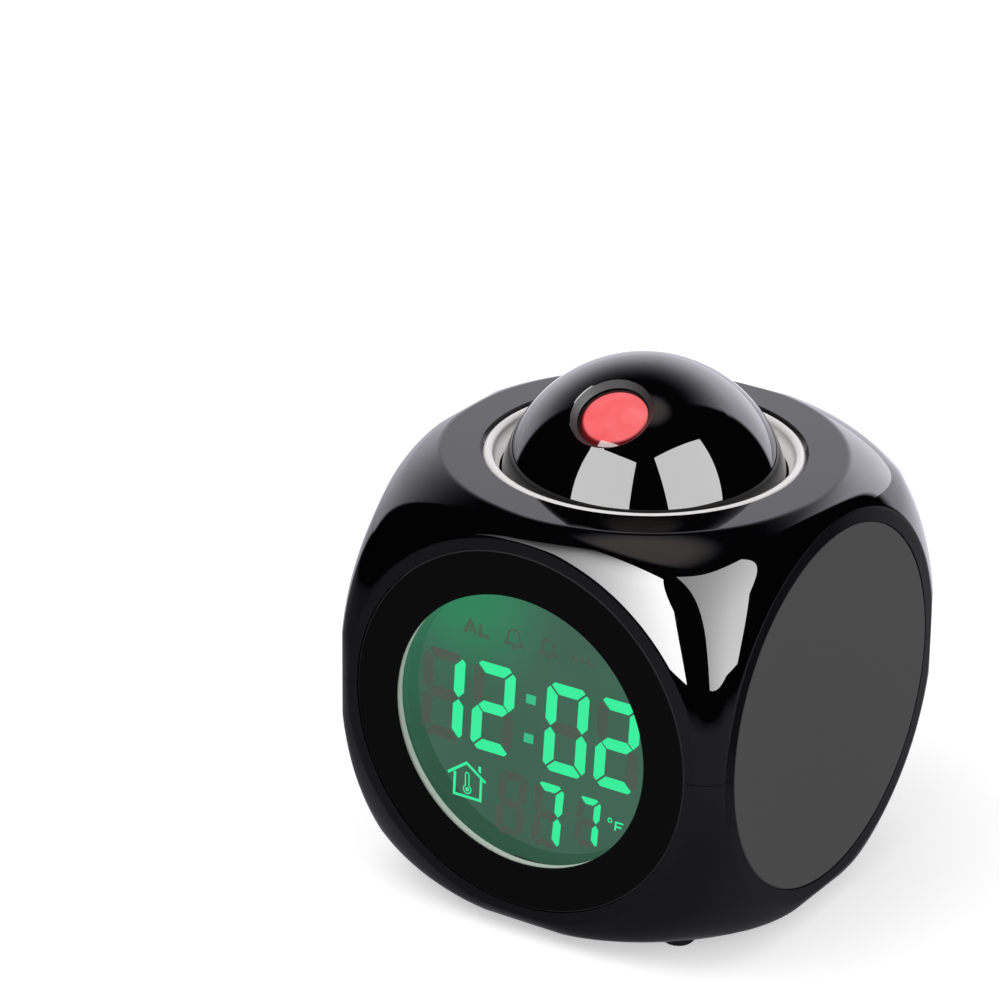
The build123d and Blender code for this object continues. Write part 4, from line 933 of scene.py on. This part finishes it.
jacket = textured(
    "shrunk_silver_foil_jacket", crinkle, ("#a2a7ad", "#bcc0c4"), detail=3.0, strength=0.2,
    depth=0.05, finish={"Metallic": 0.85, "Roughness": 0.32}, distortion=0.6,
)
dress(jacket, "battery_cells")

# ---- Battery door ----
# A plate of the housing's ABS on two pins, closed by a springy latch. Ribs for the thumb and an
# arrow that shows the way it opens are moulded on it.
dress(polished_abs, "battery_door")
door_under = 1.2
ribs_y, rib_rise = 11.0, 0.25


def under_door(x, y, depth):
    """Puts a mark's millimetres, seen from below, on the door's underside."""
    return Vector((-x, y, door_under - rib_rise + depth)) * mm


mesh = bmesh.new()
for n in range(4):
    y = ribs_y + 1.3 * n
    ribbon(mesh, [(-6, y), (6, y)], 0.55, under_door, rib_rise + 0.02)
ribbon(mesh, [(-2.2, 6.2), (0, 8.6), (2.2, 6.2)], 0.6, under_door, rib_rise + 0.02)
new_piece("battery_door_grip", mesh, polished_abs, "door")

# ---- Floor ----
# A sheet of white paper that the clock stands on, seen plain white, and grey where the clock
# shades it. Polished black plastic mirrors its far part brighter than the part in front.
behind = Vector((-sin(camera_azimuth), cos(camera_azimuth), 0))
floor_radius = 1.5
sweep_width, sweep_edge = 0.63, 0.03  # cosine of the angle from behind at which the sweep ends
shadow_bearing, shadow_length, shadow_width = radians(31), 0.13, 0.034  # in metres, halved
shadow_middle = aside * 0.185 + behind * 0.033
left_shadow_middle = aside * -0.25
table_edge = 0.42  # how far from the clock the gloss still shows the table
sweep_colour = "#f5f3fe"


def within_sweep(tree, way):
    """1 towards the white sweep that stands behind the clock, and 0 beside it."""
    bearing = add(tree, "VectorMath", [way], operation="NORMALIZE")
    from_behind = add(tree, "VectorMath", [bearing, behind], operation="DOT_PRODUCT")
    outer, inner = sweep_width - sweep_edge, sweep_width + sweep_edge
    return add(
        tree,
        "MapRange",
        {"Value": from_behind, "From Min": outer, "From Max": inner},
        interpolation_type="SMOOTHSTEP",
    )


paper_floor, tree = new_material("white_paper_floor")
rays = add(tree, "LightPath").outputs
place = add(tree, "TexCoord").outputs["Object"]
matt = add(tree, "BsdfDiffuse", {"Color": linear("#e6e6e6")})
lift = add(tree, "Emission", {"Color": linear("#ffffff"), "Strength": 0.47})
seen = add(tree, "AddShader", [matt, lift])

# what the gloss shows: the table near the clock, darker in three places that the clock shades
from_clock = add(tree, "VectorMath", [place], operation="LENGTH")
table = add(
    tree,
    "MapRange",
    {"Value": from_clock, "From Min": 0.26, "From Max": table_edge, "To Min": 0.3, "To Max": 0.0},
)
shadow_way = aside * cos(shadow_bearing) + behind * sin(shadow_bearing)
shadow_side = Vector((0, 0, 1)).cross(shadow_way)
from_shadow = add(tree, "VectorMath", [place, shadow_middle], operation="SUBTRACT")
along = add(tree, "VectorMath", [from_shadow, shadow_way / shadow_length], operation="DOT_PRODUCT")
across = add(tree, "VectorMath", [from_shadow, shadow_side / shadow_width], operation="DOT_PRODUCT")
spread = add(tree, "CombineXYZ", {"X": along, "Y": across})
in_shadow = add(tree, "VectorMath", [spread], operation="LENGTH")
shaded = add(
    tree,
    "MapRange",
    {"Value": in_shadow, "From Min": 0.7, "From Max": 1.3, "To Min": 0.15, "To Max": 1.0},
)
from_left = add(tree, "VectorMath", [place, left_shadow_middle], operation="DISTANCE")
left_shaded = add(
    tree,
    "MapRange",
    {"Value": from_left, "From Min": 0.05, "From Max": 0.22, "To Min": 0.35, "To Max": 1.0},
)
beneath = add(
    tree,
    "MapRange",
    {"Value": from_clock, "From Min": 0.05, "From Max": 0.14, "To Min": 0.5, "To Max": 1.0},
)
near_part = table
for shade in (shaded, left_shaded, beneath):
    near_part = add(tree, "Math", [near_part, shade], operation="MULTIPLY")

# and the sweep, which rises behind the clock
far = add(tree, "VectorMath", [place, behind], operation="DOT_PRODUCT")
rise = add(
    tree,
    "MapRange",
    {"Value": far, "From Min": 0.03, "From Max": 0.16, "To Min": 0.0, "To Max": 1.2},
)
width = within_sweep(tree, place)
mirrored = add(tree, "Math", [rise, width, near_part], operation="MULTIPLY_ADD")
in_gloss = add(tree, "Emission", {"Color": linear(sweep_colour), "Strength": mirrored})
lighting = add(tree, "Emission", {"Color": linear("#ffffff"), "Strength": 0.5})
not_gloss = add(tree, "MixShader", [rays["Is Camera Ray"], lighting, seen])
glossy_or_glass = add(
    tree, "Math", [rays["Is Glossy Ray"], rays["Is Transmission Ray"]], operation="MAXIMUM"
)
upper = add(tree, "MixShader", [glossy_or_glass, not_gloss, in_gloss])
underside = add(tree, "NewGeometry").outputs["Backfacing"]
see_through = add(tree, "BsdfTransparent", {"Color": linear("#ffffff")})
floor_shader = add(tree, "MixShader", [underside, upper, see_through])
add(tree, "OutputMaterial", [floor_shader])

mesh = bmesh.new()
bmesh.ops.create_circle(mesh, cap_ends=True, radius=floor_radius, segments=96)
data = bpy.data.meshes.new("floor")
mesh.to_mesh(data)
mesh.free()
data.materials.append(paper_floor)
floor = bpy.data.objects.new("floor", data)
scene.collection.objects.link(floor)

# ---- Softboxes ----
# Two softboxes stand in front, to the left and right of the camera, and are seen in the gloss as
# bright patches. The ball and the housing are each lit by a pair of their own.
softbox_distance = 3.0


def direction(azimuth, elevation):
    """Unit vector at degrees from straight ahead towards +X, and above the horizon."""
    a, e = radians(azimuth), radians(elevation)
    return Vector((sin(a) * cos(e), -cos(a) * cos(e), sin(e)))


def softbox(name, target, receivers, at, faces, roll, size, glow, dimmed=(1, 0, 0)):
    """A rectangular lamp, for the gloss of its receivers alone.

    The target sees it at azimuth and elevation `at`, turned to the direction `faces`. Its sides
    are shares of its distance. Its glow falls to the first share of `dimmed` against the direction
    given by the other two, which run to the right and upwards over the lamp."""
    lamp = bpy.data.lights.new(name, "AREA")
    lamp.shape = "RECTANGLE"
    lamp.size, lamp.size_y = (side * softbox_distance for side in size)
    lamp.energy = glow * lamp.size * lamp.size_y * pi
    lamp.use_nodes = True
    tree = lamp.node_tree
    tree.nodes.clear()
    least, across, upwards = dimmed
    spot = add(tree, "NewGeometry").outputs["Parametric"]
    from_middle = add(tree, "VectorMath", [spot, (0.5, 0.5, 0)], operation="SUBTRACT")
    along = add(tree, "VectorMath", [from_middle, (across, upwards, 0)], operation="DOT_PRODUCT")
    shading = add(
        tree,
        "MapRange",
        {"Value": along, "From Min": -0.5, "From Max": 0.5, "To Min": least, "To Max": 1.0},
        interpolation_type="SMOOTHSTEP",
    )
    light = add(tree, "Emission", {"Color": linear("#ffffff"), "Strength": shading})
    add(tree, "OutputLight", [light])
    box = bpy.data.objects.new(name, lamp)
    outward = direction(*faces)
    right = Vector((0, 0, 1)).cross(outward).normalized()
    turn = Matrix((right, outward.cross(right), outward)).transposed()
    place = Matrix.Translation(target + direction(*at) * softbox_distance)
    box.matrix_world = place @ turn.to_4x4() @ Matrix.Rotation(roll, 4, "Z")
    box.visible_camera = False
    box.visible_diffuse = False
    scene.collection.objects.link(box)
    box.light_linking.receiver_collection = receivers


ball_pieces = bpy.data.collections.new("lit_with_the_ball")
for name in ("ball_upper_shell", "ball_lower_shell", "projector_lens"):
    ball_pieces.objects.link(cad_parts[name])
housing_pieces = bpy.data.collections.new("lit_with_the_housing")
for name in ("upper_housing", "lower_housing", "battery_door"):
    housing_pieces.objects.link(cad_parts[name])

left_of_ball = {"at": (-5.9, 35.0), "faces": (-4.3, 12.7), "roll": 0.057, "size": (0.819, 0.777)}
right_of_ball = {"at": (76.0, 36.3), "faces": (78.2, 25.5), "roll": -0.082, "size": (0.839, 0.858)}
left_front = {"at": (-0.9, 46.8), "faces": (-17.7, 1.9), "roll": -0.148, "size": (0.748, 1.413)}
right_front = {"at": (79.2, 43.4), "faces": (78.7, 13.7), "roll": -0.074, "size": (0.782, 1.436)}
softbox("ball_left", ball_centre, ball_pieces, **left_of_ball, glow=12.3)
softbox("ball_right", ball_centre, ball_pieces, **right_of_ball, glow=12.3)
softbox("housing_left", middle, housing_pieces, **left_front, glow=22.5, dimmed=(0.04, 1, 0))
softbox("housing_right", middle, housing_pieces, **right_front, glow=12.3, dimmed=(0.43, 0.5, -0.5))

# ---- Room light ----
# A large overhead panel and a fill from the right give the matt surfaces soft, plain light. The
# gloss doesn't show them.


def panel_lamp(name, at, distance, side, power):
    """A square lamp aimed at the housing's middle, with its distance and side in metres."""
    lamp = bpy.data.lights.new(name, "AREA")
    lamp.size = side
    lamp.energy = power
    light = bpy.data.objects.new(name, lamp)
    spot = middle + direction(*at) * distance
    light.location = spot
    light.rotation_euler = (middle - spot).to_track_quat("-Z", "Y").to_euler()
    light.visible_camera = False
    light.visible_glossy = False
    light.visible_transmission = False
    scene.collection.objects.link(light)


panel_lamp("key_panel", (-35, 60), distance=1.5, side=1.2, power=9.0)
panel_lamp("fill_panel", (80, 25), distance=1.8, side=1.2, power=7.5)

# ---- World ----
# The room: plain white to the eye and through glass, a soft grey light on matt surfaces, and in
# the gloss a white sweep that stands behind the clock and fades out overhead, and a dim ceiling.
ceiling_middle = direction(-148.5, 84)
ceiling_edge = (radians(18), radians(7))  # the angles from its middle over which it comes up

world = bpy.data.worlds.new("studio")
scene.world = world
world.use_nodes = True
tree = world.node_tree
tree.nodes.clear()
rays = add(tree, "LightPath").outputs
heading = add(tree, "TexCoord").outputs["Generated"]
level = add(tree, "VectorMath", [heading, (1, 1, 0)], operation="MULTIPLY")
width = within_sweep(tree, level)
height = add(
    tree, "VectorMath", [heading, Vector((0, 0, 1)) - aside * 0.2], operation="DOT_PRODUCT"
)
faded = add(
    tree,
    "MapRange",
    {"Value": height, "From Min": 0.8, "From Max": 0.22},
    interpolation_type="SMOOTHSTEP",
)
to_side = add(tree, "VectorMath", [heading, aside], operation="DOT_PRODUCT")
brighter_right = add(
    tree,
    "MapRange",
    {"Value": to_side, "From Min": 0.05, "From Max": 0.5, "To Min": 1.5, "To Max": 2.85},
)
shape = add(tree, "Math", [width, faded], operation="MULTIPLY")
sweep = add(tree, "Math", [shape, brighter_right], operation="MULTIPLY")
overhead = add(tree, "VectorMath", [heading, ceiling_middle], operation="DOT_PRODUCT")
ceiling = add(
    tree,
    "MapRange",
    {"Value": overhead, "From Min": cos(ceiling_edge[0]), "From Max": cos(ceiling_edge[1])},
    interpolation_type="SMOOTHSTEP",
)
room = add(tree, "Math", [ceiling, 0.9, sweep], operation="MULTIPLY_ADD")
plain = add(tree, "Math", [rays["Is Camera Ray"], rays["Is Transmission Ray"]], operation="MAXIMUM")
matt_or_plain = add(tree, "MapRange", {"Value": plain, "To Min": 0.55, "To Max": 1.0})
strength = add(tree, "Mix", [rays["Is Glossy Ray"], matt_or_plain, room], data_type="FLOAT")
gloss_tint = add(
    tree, "Mix", [ceiling, linear(sweep_colour), linear("#fff0e2")], data_type="RGBA"
)
tint = add(tree, "Mix", [rays["Is Glossy Ray"], linear("#ffffff"), gloss_tint], data_type="RGBA")
sky = add(tree, "Background", {"Color": tint, "Strength": strength})
add(tree, "OutputWorld", [sky])

scene.view_settings.view_transform = "Standard"
